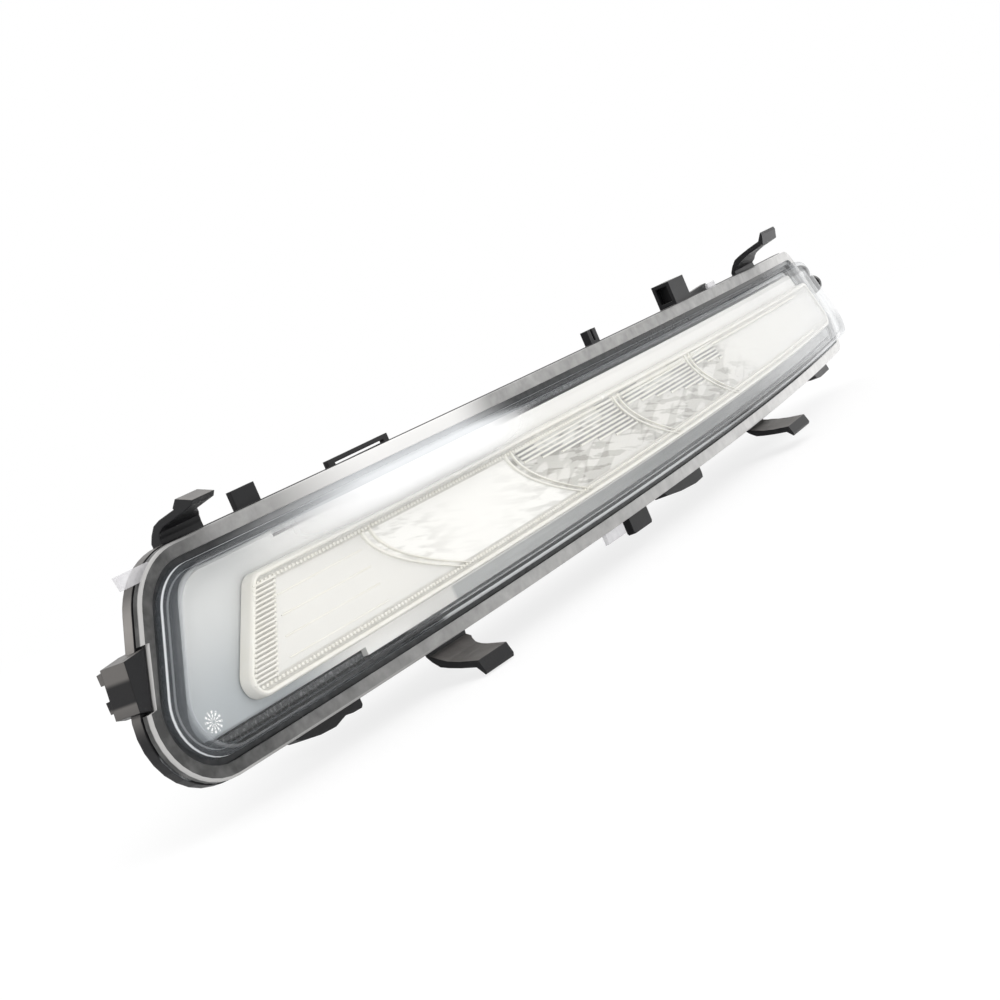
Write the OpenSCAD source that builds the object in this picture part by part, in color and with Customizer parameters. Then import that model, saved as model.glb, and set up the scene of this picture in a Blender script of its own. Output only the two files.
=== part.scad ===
// Daytime running light for a car bumper, as one curved lamp with a clear lens over a fluted optic.
// The lens faces -Y, the length runs along X and +Z is up.
// The origin is the middle of the lens flange face, where the curve of the lamp touches the XZ plane.
// All places across the lamp are insets from the flange outline, seen from the front.
// All depths are offsets from the flange face along the curve normal, forward is positive.

/* [Outline] */
// Radius of the lamp in plan, measured to the lens flange face (mm)
curve_r = 1280; // [1100:10:1800]
// Length of the flange along its bottom edge, before the corners are rounded (mm)
bottom_len = 479; // [470:1:500]
// How far the top left corner stands to the right of the bottom left one (mm)
left_slant = 23; // [14:1:28]
// How far the top right corner stands to the left of the bottom right one (mm)
right_slant = 47; // [40:1:52]
// Height of the flange at the left end (mm)
left_h = 50; // [49:0.5:54]
// Height of the flange at the right end (mm)
right_h = 43; // [42:0.5:48]
// Corner radii: top left, top right, bottom right and bottom left (mm)
corner_r = [17, 13, 10, 16];

/* [Flanges] */
// Thickness of the lens flange (mm)
lens_flange_t = 1.8; // [1.5:0.1:2.2]
// Width of the lens flange up to the groove (mm)
flange_w = 3.5; // [3.2:0.1:3.8]
// Width of the groove between the lens flange and the dome (mm)
groove_w = 1.5; // [1.2:0.1:1.8]
// Depth of that groove (mm)
groove_d = 1; // [0.6:0.1:1.2]
// Gap between the two flanges, filled by the sealing bead (mm)
bead_gap = 0.4; // [0.3:0.05:0.6]
// Thickness of the housing flange (mm)
house_flange_t = 2.4; // [2:0.1:2.8]

/* [Dome] */
// Height of the dome above the flange face (mm)
dome_h = 5.5; // [5.1:0.1:7]
// Wall thickness of the dome (mm)
dome_t = 2; // [1.6:0.1:2.2]
// Length of the lens leg that stands in the sealing channel (mm)
leg_h = 3.6; // [3:0.1:3.8]

/* [Housing] */
// Wall thickness of the housing (mm)
wall_t = 2; // [1.6:0.1:2.2]
// Offset of the outside of the deep tray behind the reflector (mm)
tray_depth = 18; // [17.5:0.1:19]
// Offset of the open back of the electronics box (mm)
box_depth = 36; // [35:0.5:40]
// Width of a snap arm at its root (mm)
arm_w = 16; // [12:0.5:18]
// How far a snap arm reaches in front of the flange face (mm)
arm_reach = 10.5; // [9:0.5:14]
// How far a snap arm stands outside the flange (mm)
arm_rise = 7; // [5:0.5:9]
// Thickness of a snap arm (mm)
arm_t = 1.6; // [1.2:0.1:2]

/* [Optics] */
// Distance between two optic cells along the lamp (mm)
cell_pitch = 65; // [60:1:66]
// Position of the left end of the first optic cell (mm)
first_cell_x = -158; // [-162:1:-154]
// Height of the inner lens strip at the left end (mm)
strip_h = 25.4; // [24.4:0.2:26]
// Thickness of the inner lens strip (mm)
strip_t = 2.5; // [2:0.1:2.8]
// Height of the ribs on the inner lens strip (mm)
rib_h = 0.7; // [0.4:0.1:0.9]
// Number of flutes in the upper half of a cell
flute_n = 9; // [6:1:11]
// Number of prism bars at the left end of the inner lens strip
prism_n = 23; // [12:1:26]
// Depth of a reflector bowl (mm)
bowl_d = 10; // [8:0.5:10.5]

/* [Fixings] */
// Bore radius of the sleeve in the fixing lug (mm)
lug_bore_r = 1.7; // [1.4:0.1:1.9]
// Radius of a self tapping screw (mm)
screw_r = 1.4; // [1.1:0.1:1.6]

/* [View] */
// Node to show, or all of them

/* [Hidden] */
// Clearance between pieces that are seated on each other
seat_gap = 0.3;
// Clearance of a fit that slides
fit_gap = 0.15;
cut = 1;
reach = 2 * left_h;
cell_n = 4;
arc_steps = 10;
edge_steps = 22;
sides = [0, 1, 2, 3];
outline_shift = -5.5;
x_bl = outline_shift - bottom_len / 2;
x_br = outline_shift + bottom_len / 2;
x_tl = x_bl + left_slant;
x_tr = x_br - right_slant;
left_mid = (x_bl + x_tl) / 2;
right_mid = (x_br + x_tr) / 2;
low_h = min(left_h, right_h);
corners = [[x_tl, left_h / 2], [x_tr, right_h / 2], [x_br, -right_h / 2], [x_bl, -left_h / 2]];

// Places of the sealing joint
house_front = -(lens_flange_t + bead_gap);
house_back = house_front - house_flange_t;
dome_foot = flange_w + groove_w;
leg_t = 1.6;
leg_tip = -(lens_flange_t + leg_h);
bead_clear = 0.1;
channel_out = dome_foot - fit_gap;
channel_in = dome_foot + leg_t + fit_gap;
channel_floor = leg_tip - seat_gap;
rim_back = channel_floor - 1.6;
rim_out = channel_out - 1.2;
rim_in = channel_in + 1.4;
rim_step = 1.6;

// Places of the optic stack
strip_back = -1.5;
strip_front = strip_back + strip_t;
bezel_front = strip_back - seat_gap;
bezel_t = 1.5;
bezel_back = bezel_front - bezel_t;
rim_z = bezel_back - seat_gap;
reflector_t = 1.2;
strip_frame = left_h - strip_h;
strip_top_inset = 0.545 * strip_frame;
strip_low_inset = strip_frame - strip_top_inset;
strip_mid = left_h / 2 - strip_top_inset - strip_h / 2;
cell_edges = [first_cell_x, first_cell_x + cell_pitch, first_cell_x + 2 * cell_pitch,
  first_cell_x + 3 * cell_pitch - 8, first_cell_x + 4 * cell_pitch - 21];
rib_lean = 31;
rib_power = 1.75;
tray_side = [6, 16, 7.5];
board_t = 1.2;
pad_t = 0.4;
sink_t = 1.4;
cell_top = low_h / 2 - tray_side[0] - wall_t - board_t - pad_t - sink_t - seat_gap - 0.1;
cell_low = tray_side[2] + wall_t - low_h / 2;
window_x0 = first_cell_x - 3;
window_x1 = cell_edges[4] + rib_lean + 3;
bowl_cols = 8;
bowl_rows = 6;
row_n = bowl_rows + 2 * flute_n;
col_n = cell_n * bowl_cols;

// Places of the electronics
board_z = cell_top + seat_gap;
board_front = -6;
board_back = -19.8;
sink_front = -20.6;
sink_back = sink_front - 1.6;
fin_pitch = 12;
floor_in = -(tray_depth - wall_t);
left_room = window_x0 - left_mid;
right_room = right_mid - window_x1;
tray_ins = [tray_side[0], tray_side[1], tray_side[2], 0.34 * left_room];
tray_left = left_mid + tray_ins[3] * norm([left_slant, left_h]) / left_h;
tray_right = right_mid - tray_ins[1] * norm([right_slant, right_h]) / right_h;
box_ins = [5, 0, 7.2, 0];
box_x0 = window_x0 - 0.24 * left_room;
box_x1 = window_x1 + 0.105 * right_room;
box_back = -box_depth;
fin_back = box_back + 7;
sink_low = box_ins[2] + wall_t + 0.5 - low_h / 2;
cover_t = 2.4;
ledge_w = 12;
ledge_front = sink_front + seat_gap;
driver_x = -20;
driver_w = 78;
driver_front = box_back + 4.6;
driver_t = 1.6;
driver_room = sink_back - driver_front;
driver_low = sink_low + 0.8;
driver_screw_z = driver_low + 3.4;
driver_screw_off = driver_w / 2 - 5;
flex_x = driver_x + 0.3 * driver_w;
flex_w = 9;
plug_x = box_x1 + 0.42 * (tray_right - box_x1);
plug_w = 20;
plug_h = 11;
plug_depth = 15;
plug_wall = 1.6;
pin_n = 4;
vent_x = (tray_left + box_x0) / 2 - 2.5;
led_off = -10;
ear_x = x_br - 26;
ear_z = 10.4;
ear_r = 3.4;
ear_t = 3.6;
ear_y = 2.8;
sleeve_wall = 0.8;

function unit(v) = v / norm(v);
function along(i) = unit(corners[(i + 1) % 4] - corners[i]);
function inward(i) = [along(i)[1], -along(i)[0]];
function before(i) = (i + 3) % 4;
function turned(v, a) = [v[0] * cos(a) - v[1] * sin(a), v[0] * sin(a) + v[1] * cos(a)];

// Crossing of two lines, each given by a point and a direction
function meet(p, d, q, e) = p + d * cross(q - p, e) / cross(d, e);

// Corner i of the outline moved inward by the four edge insets
function inset_corner(i, ins) = meet(
  corners[i] + inward(before(i)) * ins[before(i)], along(before(i)),
  corners[i] + inward(i) * ins[i], along(i));

// Rounded corner i as points from the incoming edge to the outgoing edge
function corner_arc(i, ins) =
  let (
    a = before(i),
    turn = acos(along(a) * along(i)),
    r = max(corner_r[i] - (ins[a] + ins[i]) / 2, 2),
    hub = inset_corner(i, ins) - along(a) * r * tan(turn / 2) + inward(a) * r
  )
  [for (k = [0:arc_steps]) hub - turned(inward(a), -turn * k / arc_steps) * r];

// Points between two rounded corners
function edge_points(from, to) =
  [for (k = [1:edge_steps - 1]) from + (to - from) * k / edge_steps];

function outline(ins) = [for (i = sides) each corner_arc(i, ins)];

// Outline with subdivided long edges, its first half on top and its second half below
function ring(ins) =
  let (arcs = [for (i = sides) corner_arc(i, ins)], last = arc_steps)
  concat(
    arcs[0], edge_points(arcs[0][last], arcs[1][0]), arcs[1],
    arcs[2], edge_points(arcs[2][last], arcs[3][0]), arcs[3]);

function even(d) = [d, d, d, d];

// Half height of the flange at x
function half_z(x) = (left_h + (right_h - left_h) * (x - x_tl) / (x_tr - x_tl)) / 2;

// Places on the upper and on the lower edge, as a share of its length from the left
function top_x(share) = x_tl + (x_tr - x_tl) * share;
function low_x(share) = x_bl + (x_br - x_bl) * share;

// Point of the front view carried to an offset from the curved flange face
function on_curve(p, off) = [p[0], curve_r - sqrt(pow(curve_r + off, 2) - p[0] * p[0]), p[1]];

// Slab between two offsets from the flange face
module band(front, back) {
  sweep = 2 * asin((bottom_len / 2 + 30) / (curve_r - box_depth));
  tall = left_h + 40;
  translate([0, curve_r, 0])
    rotate([0, 0, -90 - sweep / 2])
      rotate_extrude(angle = sweep, $fn = 1080)
        translate([curve_r + back, -tall / 2])
          square([front - back, tall]);
}

// Straight prism on a front view shape
module prism() {
  rotate([90, 0, 0])
    linear_extrude(height = 3.4 * left_h, center = true, convexity = 6)
      children();
}

// Everything between two planes across the length of the lamp
module slice(x0, x1) {
  translate([x0, -reach, -reach / 2])
    cube([x1 - x0, 2 * reach, reach]);
}

// Curved plate with the inset flange outline
module slab(ins, front, back) {
  intersection() {
    band(front, back);
    prism() polygon(outline(ins));
  }
}

// Curved plate on any front view shape
module plate(front, back) {
  intersection() {
    band(front, back);
    prism() children();
  }
}

// Curved plate with a rectangular front view
module block(x0, x1, z0, z1, front, back) {
  plate(front, back)
    translate([x0, z0])
      square([x1 - x0, z1 - z0]);
}

// Local frame on the flange face at x
module at_x(x) {
  translate([x, curve_r - sqrt(curve_r * curve_r - x * x), 0])
    rotate([0, 0, asin(x / curve_r)])
      children();
}

// Solid through closed rings, open between ring number gap and the next one, closed there by caps
module loft(rings, gap) {
  count = len(rings);
  n = len(rings[0]);
  half = n / 2;
  sides_of = [for (k = [0:count - 1]) if (k != gap) for (j = [0:n - 1])
    let (a = k * n + j, b = k * n + (j + 1) % n, c = ((k + 1) % count) * n + (j + 1) % n,
      d = ((k + 1) % count) * n + j)
    each [[a, b, c], [a, c, d]]];
  front_cap = [for (j = [0:half - 2])
    let (a = gap * n + j, b = a + 1, c = gap * n + n - 2 - j, d = c + 1)
    each [[a, b, c], [a, c, d]]];
  back_cap = [for (j = [0:half - 2])
    let (a = (gap + 1) * n + j, b = a + 1, c = (gap + 1) * n + n - 2 - j, d = c + 1)
    each [[a, c, b], [a, d, c]]];
  polyhedron([for (r = rings) each r], concat(sides_of, front_cap, back_cap), convexity = 8);
}

function ring_at(inset, off) = [for (p = ring(even(inset))) on_curve(p, off)];

module outer_lens() {
  foot = dome_foot;
  color("#d5dade", 0.4)
    difference() {
      union() {
        loft([
          ring_at(0, 0),
          ring_at(flange_w, 0),
          ring_at(flange_w + 0.3, -groove_d),
          ring_at(foot, -groove_d),
          ring_at(foot + 0.4, dome_h * 0.45),
          ring_at(foot + 1, dome_h * 0.75),
          ring_at(foot + 2.2, dome_h * 0.94),
          ring_at(foot + 4, dome_h),
          ring_at(foot + dome_t + 3, dome_h - dome_t),
          ring_at(foot + dome_t + 0.6, dome_h - dome_t - 1.4),
          ring_at(foot + leg_t, strip_back + 0.3),
          ring_at(foot + leg_t, leg_tip),
          ring_at(foot, leg_tip),
          ring_at(foot - 0.01, -lens_flange_t),
          ring_at(0, -lens_flange_t)
        ], 7);
        lens_tabs();
      }
      bracket_notch(0, cut, -(lens_flange_t + cut));
    }
}

// Three small gate tabs on the edge of the lens flange
module lens_tabs() {
  front = -0.3;
  back = -1.5;
  low_tab = low_x(0.4);
  high_tab = top_x(0.741);
  plate(front, back)
    translate([x_tl, left_h / 2])
      polygon([[8, -5], [6, -0.8], [-6.6, -0.6], [-4.6, -5.2], [0, -8]]);
  plate(front, back)
    translate([low_tab, -half_z(low_tab)])
      polygon([[-6, 3], [-6, -0.6], [-5, -3], [5, -3.2], [6, -1], [6, 3]]);
  plate(front, back)
    translate([high_tab - 3.5, half_z(high_tab) - 3])
      square([7, 4.8]);
}

// Recess of both flanges around the bracket on the left end
module bracket_notch(gap, front, back) {
  plate(front, back)
    translate([left_mid, 0])
      polygon([[-17, 8.4 - gap], [5.3 - gap, 8.4 - gap], [0.1 - gap, gap - 4.6], [-17, gap - 4.6]]);
}

module seal_bead() {
  color("#101012")
    difference() {
      slab(even(1), -lens_flange_t - bead_clear, house_front);
      slab(even(channel_out), cut, house_front - cut);
      bracket_notch(0, cut, house_front - cut);
    }
}

module housing() {
  color("#232326")
    difference() {
      union() {
        housing_shell();
        cover_bosses();
      }
      fixing_bores();
    }
}

module housing_shell() {
    difference() {
      union() {
        slab(even(0), house_front, house_back);
        slab(even(rim_out), house_front, rim_back);
        slab(tray_ins, house_back, -tray_depth);
        box_body(0);
        for (a = arms) snap_arm(a[0], a[1], a[2], a[3], a[4], a[5], a[6]);
        top_features();
        bottom_features();
        left_bracket();
        fixing_ear();
        plug_shroud();
      }
      channel();
      slab(even(rim_in), cut, channel_floor);
      slab(even(channel_in - 0.2), cut, bezel_back - 0.5);
      slab([for (d = tray_ins) d + wall_t], cut, floor_in);
      box_space();
      plug_space();
    }
}

// Groove of the sealing joint all round the housing
module channel() {
  difference() {
    slab(even(channel_out), cut, channel_floor);
    slab(even(channel_in), 2 * cut, channel_floor - cut);
  }
}

// Outside of the electronics box, moved inward by d
module box_body(d) {
  intersection() {
    slab([for (e = box_ins) e + d], house_back - 8, box_back);
    slice(box_x0 + d, box_x1 - d);
  }
}

module box_space() {
  intersection() {
    slab([for (e = box_ins) e + wall_t], -14, box_back - cut);
    slice(box_x0 + ledge_w, box_x1 - ledge_w);
  }
  intersection() {
    slab([for (e = box_ins) e + wall_t], ledge_front, box_back - cut);
    slice(box_x0 + wall_t, box_x1 - wall_t);
  }
}

// Left end of each snap arm along X, its side up or down, its widths at root and tip,
// how far its root lies behind the flange face, its rise and where along its reach the barb stands
arms = [
  [x_tl + 10.5, 1, arm_w - 2.5, arm_w - 9, 1 - house_back, arm_rise, 0.6],
  [top_x(0.829), 1, arm_w + 9, arm_w + 3, -house_back - 0.7, arm_rise + 0.6, 1],
  [low_x(0.2025), -1, arm_w, arm_w - 3.3, -house_back - 0.9, arm_rise, 1],
  [low_x(0.6493), -1, arm_w + 1, arm_w + 3, -house_back - 0.9, arm_rise - 1.2, 1]
];

// Springy arm that reaches forward past the flange and ends in an outward barb
module snap_arm(x, up, root_w, tip_w, root, rise, barb) {
  anchor = -4;
  front = 0.2 - house_front;
  wide = max(root_w, tip_w);
  at_x(x)
    scale_up(up)
      translate([0, 0, half_z(x)])
        intersection() {
          rotate([90, 0, 90])
            linear_extrude(height = wide)
              polygon([
                [-house_back - 0.4, anchor], [root, -0.5], [root, 0.13 * rise], [root - 1.1, 0.36 * rise],
                [root - 2.8, 0.6 * rise], [root - 5, 0.71 * rise],
                [-0.45 * arm_reach, 0.84 * rise], [-(barb - 0.16) * arm_reach, (0.78 + 0.18 * barb) * rise],
                [-barb * arm_reach, (0.86 + 0.42 * barb) * rise],
                [-arm_reach - 0.3, (0.5 + 0.66 * barb) * rise], [-arm_reach + 0.5, 0.98 * rise - arm_t],
                [-0.45 * arm_reach, 0.84 * rise - arm_t],
                [root - 5.4, 0.71 * rise - arm_t], [root - 3.6, 0.58 * rise - arm_t],
                [front + 0.2, 0.15 * rise], [front, -0.5], [front, anchor]
              ]);
          translate([0, 0, anchor - cut])
            linear_extrude(height = 4 * arm_rise)
              polygon([
                [0, root + cut], [root_w, root + cut], [root_w, root - 2.4],
                [0.7 * root_w + 0.3 * tip_w, 0.6], [0.25 * root_w + 0.75 * tip_w, -0.1 * arm_reach],
                [tip_w, -0.3 * arm_reach], [tip_w, -arm_reach - cut], [0, -arm_reach - cut]
              ]);
        }
}

// Children kept for up = 1 and mirrored to the lower side for up = -1
module scale_up(up) {
  if (up > 0) children();
  else mirror([0, 0, 1]) children();
}

// Block on the upper edge between x0 and x1, standing out of the flange edge by rise
module top_block(x0, x1, rise, front, back) {
  edge = half_z((x0 + x1) / 2);
  block(x0, x1, edge - edge_root, edge + rise, front, back);
}

// Plate on the lower edge at x, with a shape of its own measured from the flange edge
module low_plate(x, back) {
  plate(house_front - 0.6, back)
    translate([x, -half_z(x)])
      children();
}

// Locating blocks, pin and plates on the upper edge
module top_features() {
  tab = top_x(0.0949);
  bar = top_x(0.195);
  pin = top_x(0.5025);
  lug = top_x(0.668);
  ledge_x = top_x(0.7);
  ledge_z = half_z(ledge_x);
  top_block(tab - 3.4, tab + 4.6, 4.3, house_front - 0.6, house_front - 1.8);
  difference() {
    top_block(bar - 11, bar + 13.6, 1.7, house_front - 0.6, house_back + 0.6);
    block(bar - 8.5, bar + 11.5, half_z(bar) + 0.05, half_z(bar) + 0.6, cut, house_back - cut);
  }
  difference() {
    top_block(pin - 1.6, pin + 4.2, 4, house_front - 0.6, house_front - 2.8);
    block(pin + 0.6, pin + 1.8, half_z(pin) + 0.6, 2 * half_z(pin), cut, house_front - 1.6);
  }
  difference() {
    top_block(lug - 0.6, lug + 13.8, 7.4, house_front - 0.4, -8.6);
    block(lug - cut - 0.6, lug + 3, half_z(lug) + 1.2, half_z(lug) + 6.2, -3.6, -7.6);
  }
  plate(house_front - 0.6, house_back)
    translate([ledge_x, ledge_z])
      polygon([[0, -edge_root], [0, 1.2], [18.4, 1.8], [19.6, 1.2], [19.6, -edge_root]]);
}

edge_root = 5;

// Locating block and hooks on the lower edge
module bottom_features() {
  low_plate(low_x(0.4426), house_back - 0.4)
    polygon([[-6, edge_root], [-6, -4.6], [-5.4, -5.2], [6, -5.2], [6.6, -4.6], [6.6, edge_root]]);
  low_plate(low_x(0.122), house_back - 2)
    polygon([
      [-12.5, edge_root], [-12.5, -0.2], [-10, -1.4], [-4.4, -2.4], [0.8, -2.7], [5, -1.7],
      [7.5, -2.1], [10.8, -2.2], [11.4, -1.6], [11.4, edge_root]
    ]);
  low_plate(low_x(0.517), house_back - 2)
    polygon([
      [-15.6, edge_root], [-15.6, -0.6], [-14.4, -1.9], [-4, -3.1], [7.6, -3.8], [13.9, -3.5],
      [14.4, -2.4], [14.4, edge_root]
    ]);
  low_plate(low_x(0.8747), house_back - 2)
    polygon([
      [-12, edge_root], [-12, -0.4], [-9, -2.6], [-2.7, -3.4], [14.6, -3.4], [15.7, -3.2],
      [14.5, -1.6], [10, edge_root]
    ]);
}

// Bracket with two fingers on the left end
module left_bracket() {
  base = [[4.1, 7.8], [-1.5, 7.2], [-3, -3.4], [-0.6, -4.2]];
  plate(-0.6, house_front - 0.5)
    translate([left_mid, 0])
      polygon([[4.8, 7.8], [-1.5, 7.2], [-3, -3.4], [0, -4.2]]);
  plate(house_front, -7)
    translate([left_mid, 0])
      polygon(concat([[9.5, 7.8]], base, [[9.5, -4.2]]));
  plate(house_front, -9)
    translate([left_mid, 0]) {
      polygon([[5, 7], [-0.9, 6.4], [-0.9, 4], [5, 4]]);
      polygon([[5, 0.6], [-1.5, 0.6], [-1.5, -2], [5, -2.6]]);
    }
}

// Ear with a round bore along X on the right end
module fixing_ear() {
  drop = 5.2;
  lead = 2.6;
  web = 9;
  at_x(ear_x) {
    translate([0, ear_y, ear_z])
      rotate([0, 90, 0])
        cylinder(h = ear_t, r = ear_r, center = true, $fn = 48);
    translate([0, ear_y - lead, ear_z - drop])
      rotate([0, 90, 0])
        cylinder(h = ear_t, r = ear_r, center = true, $fn = 48);
    translate([0, ear_y, ear_z])
      rotate([atan2(lead, drop), 0, 0])
        translate([-ear_t / 2, -ear_r, -norm([drop, lead])])
          cube([ear_t, 2 * ear_r, norm([drop, lead])]);
    translate([-web, -house_front + 0.3, ear_z - 8])
      cube([web, house_flange_t - 0.6, 10.5]);
  }
}

module fixing_bores() {
  at_x(ear_x)
    translate([0, ear_y, ear_z])
      rotate([0, 90, 0])
        cylinder(h = 3 * ear_t, r = sleeve_r, center = true, $fn = 48);
  for (x = reflector_screw_x)
    at_x(x)
      translate([0, -floor_in, reflector_screw_z])
        screw_hole(3.4);
  for (x = sink_screw_x)
    at_x(x)
      translate([0, -ledge_front, sink_screw_z])
        rotate([180, 0, 0]) screw_hole(3.4);
  for (s = cover_screw_places)
    at_x(s[0])
      translate([0, -box_back, s[1]])
        rotate([180, 0, 0]) screw_hole(5);
}

sleeve_r = lug_bore_r + sleeve_wall;

module lug_sleeve() {
  color("#b9bcc0")
    at_x(ear_x)
      translate([0, ear_y, ear_z])
        rotate([0, 90, 0])
          difference() {
            cylinder(h = ear_t, r = sleeve_r, center = true, $fn = 48);
            cylinder(h = ear_t + 2 * cut, r = lug_bore_r, center = true, $fn = 48);
          }
}

// Self tapping screw along +Y, seated at y = 0, with its head toward -Y
module screw(length) {
  head_h = 1.3;
  rotate([-90, 0, 0]) {
    translate([0, 0, -head_h / 2])
      cylinder(h = length + head_h / 2, r = screw_r, $fn = 32);
    translate([0, 0, -head_h])
      cylinder(h = head_h, r = screw_head_r, $fn = 32);
  }
}

// Clearance hole along +Y from just in front of y = 0
module screw_hole(depth) {
  translate([0, -cut, 0])
    rotate([-90, 0, 0])
      cylinder(h = depth + cut, r = screw_r + fit_gap, $fn = 32);
}

screw_head_r = screw_r * 1.65;
reflector_screw_x = [window_x0 - 0.6 * (window_x0 - box_x0), window_x1 + 0.4 * (box_x1 - window_x1)];
reflector_screw_z = 6;
sink_screw_x = [box_x0 + 6, box_x1 - 6];
bend_x = box_x1 - ledge_w - 1.5;
sink_screw_z = -6;
board_screw_x = [cell_edges[0] + 8, cell_edges[1], cell_edges[2], cell_edges[3], cell_edges[4] + 22];
board_screw_off = -17.8;
cover_screw_x = [box_x0 + 6, (box_x0 + box_x1) / 2, box_x1 - 6];
function high_boss(x) = half_z(x) - box_ins[0] - wall_t - 1.4;
function low_boss(x) = box_ins[2] + wall_t + 1.4 - half_z(x);
cover_screw_places = [
  for (x = cover_screw_x) [x, high_boss(x)],
  for (x = [cover_screw_x[0], cover_screw_x[2]]) [x, low_boss(x)]];
boss_r = 2.7;
boss_front = -25;
ear_w = 8;

// Shape of the ridge line between two cells, 0 at the top and rib_lean at the bottom
function lean(v) = rib_lean * pow(1 - v, rib_power);

// Share of the cell height of row i
function row_v(i) = i <= bowl_rows
  ? 0.48 * i / bowl_rows
  : 0.48 + 0.52 * (i - bowl_rows) / (2 * flute_n);

function cell_of(j) = min(floor((j - 1) / bowl_cols), cell_n - 1);
function cell_w(j) = (j - 1 - cell_of(j) * bowl_cols) / bowl_cols;
function cell_x(c, w, v) = cell_edges[c] + (cell_edges[c + 1] - cell_edges[c]) * w + lean(v);

// Front view place of grid point i, j of the reflector
function grid_point(i, j) =
  let (v = row_v(i), z = cell_low + (cell_top - cell_low) * v)
  j == 0 ? [window_x0 - 1, z]
  : j == col_n + 2 ? [window_x1 + 1, z]
  : [cell_x(cell_of(j), cell_w(j), v), z];

// Bowl depth without facets
function bowl(i, j) = (j == 0 || j == col_n + 2) ? 0
  : bowl_d * (0.2 + 0.8 * pow(row_v(i), 0.8)) * sqrt(max(0, 1 - pow(2 * cell_w(j) - 1, 2)));

// Extra depth of the facets below and of the flutes above
function facet(i, j) = bowl(i, j) < 1 ? 0
  : i > bowl_rows ? 0.4 * (i % 2)
  : 0.6 * ((i + j) % 2);

module reflector() {
  wide = col_n + 3;
  tall = row_n + 1;
  back_gap = reflector_t + 0.7;
  front = [for (i = [0:row_n]) for (j = [0:col_n + 2])
    on_curve(grid_point(i, j), rim_z - bowl(i, j) - facet(i, j))];
  back = [for (i = [0:row_n]) for (j = [0:col_n + 2])
    on_curve(grid_point(i, j), rim_z - bowl(i, j) - back_gap)];
  size = wide * tall;
  cells = [for (i = [0:tall - 2]) for (j = [0:wide - 2])
    let (a = i * wide + j, b = a + 1, c = a + wide + 1, d = a + wide)
    each [[a, c, b], [a, d, c], [a + size, b + size, c + size], [a + size, c + size, d + size]]];
  low = [for (j = [0:wide - 2]) each [[j, j + 1, j + 1 + size], [j, j + 1 + size, j + size]]];
  top = [for (j = [0:wide - 2])
    let (a = (tall - 1) * wide + j)
    each [[a, a + 1 + size, a + 1], [a, a + size, a + 1 + size]]];
  left = [for (i = [0:tall - 2])
    let (a = i * wide, b = a + wide)
    each [[a, b + size, b], [a, a + size, b + size]]];
  right = [for (i = [0:tall - 2])
    let (a = i * wide + wide - 1, b = a + wide)
    each [[a, b, b + size], [a, b + size, a + size]]];
  color("#d9dbdd") {
    polyhedron(concat(front, back), concat(cells, low, top, left, right), convexity = 10);
    reflector_ear(window_x0, -1, 0);
    reflector_ear(window_x1, 1, 1);
  }
}

// Foot of the reflector at one end, screwed to the tray floor
module reflector_ear(x, way, k) {
  length = way < 0 ? window_x0 - box_x0 - 1 : box_x1 - window_x1 - 0.5;
  x0 = way < 0 ? x - length : x;
  z0 = reflector_screw_z - ear_w / 2;
  foot = -floor_in - seat_gap;
  at_x(reflector_screw_x[k])
    difference() {
      translate([x0 - reflector_screw_x[k], foot - 1.8, z0])
        cube([length, 1.8, ear_w]);
      translate([0, foot - 3, reflector_screw_z]) screw_hole(6);
    }
  at_x(x)
    translate([way < 0 ? -1.6 : 0, -rim_z + 0.2, z0])
      cube([1.6, foot + rim_z - 0.4, ear_w]);
}

module reflector_screws() {
  color("#8f9296")
    for (x = reflector_screw_x)
      at_x(x)
        translate([0, -floor_in - seat_gap - 1.8, reflector_screw_z]) screw(4.6);
}

module strip_shape(d) {
  polygon(outline([strip_top_inset + d, strip_end_inset + d, strip_low_inset + d, strip_left_inset + d]));
}

strip_end_inset = 9;
strip_left_inset = 26;

// Curved double ridge between two cells of the inner lens
module ridge(c, shift, width) {
  steps = 14;
  vs = [for (k = [0:steps]) k / steps];
  z_of = [for (v = vs) ridge_low + (ridge_top - ridge_low) * v];
  polygon(concat(
    [for (k = [0:steps]) [cell_edges[c] + lean(vs[k]) + shift, z_of[k]]],
    [for (k = [steps:-1:0]) [cell_edges[c] + lean(vs[k]) + shift + width, z_of[k]]]));
}

ridge_top = strip_mid + 9.3;
ridge_low = strip_mid - 9.7;

// Flutes over the upper part of cell c, cut short along a slanting line
module cell_flutes(c) {
  pitch = (ridge_top + 3.6) / flute_n;
  for (k = [0:flute_n - 1]) {
    z = ridge_top - pitch * (k + 0.75);
    v = (z - ridge_low) / (ridge_top - ridge_low);
    from = max(cell_edges[c] + lean(v) + 5.5, cell_edges[c] + 12 + (strip_mid + 3.9 - z) * 6.5);
    to = cell_edges[c + 1] + lean(v) - 1.5;
    if (to > from + 2)
      translate([from, z]) square([to - from, pitch * 0.45]);
  }
}

// Column of short prism bars at the left end
module prism_column() {
  top = strip_mid + 10.5;
  low = strip_mid - 11.1;
  pitch = (top - low) / prism_n;
  for (k = [0:prism_n - 1]) {
    z = top - pitch * (k + 0.8);
    translate([left_mid + 29.3 + 0.62 * z, z]) square([6.6, pitch * 0.5]);
  }
}

module inner_lens() {
  color("#e8ecec", 0.55) {
    plate(strip_front, strip_back) strip_shape(0);
    relief()
      difference() {
        strip_shape(1.2);
        strip_shape(1.9);
      }
    for (c = [0:cell_n - 1]) {
      relief() ridge(c, 0, 1);
      relief() ridge(c, 3.2, 0.8);
      relief() cell_flutes(c);
    }
    relief() prism_column();
    relief() field_lines();
  }
}

// Front view shape raised over the face of the inner lens, kept inside its outline
module relief() {
  plate(strip_front + rib_h, strip_front - 0.4)
    intersection() {
      strip_shape(0.3);
      children();
    }
}

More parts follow.
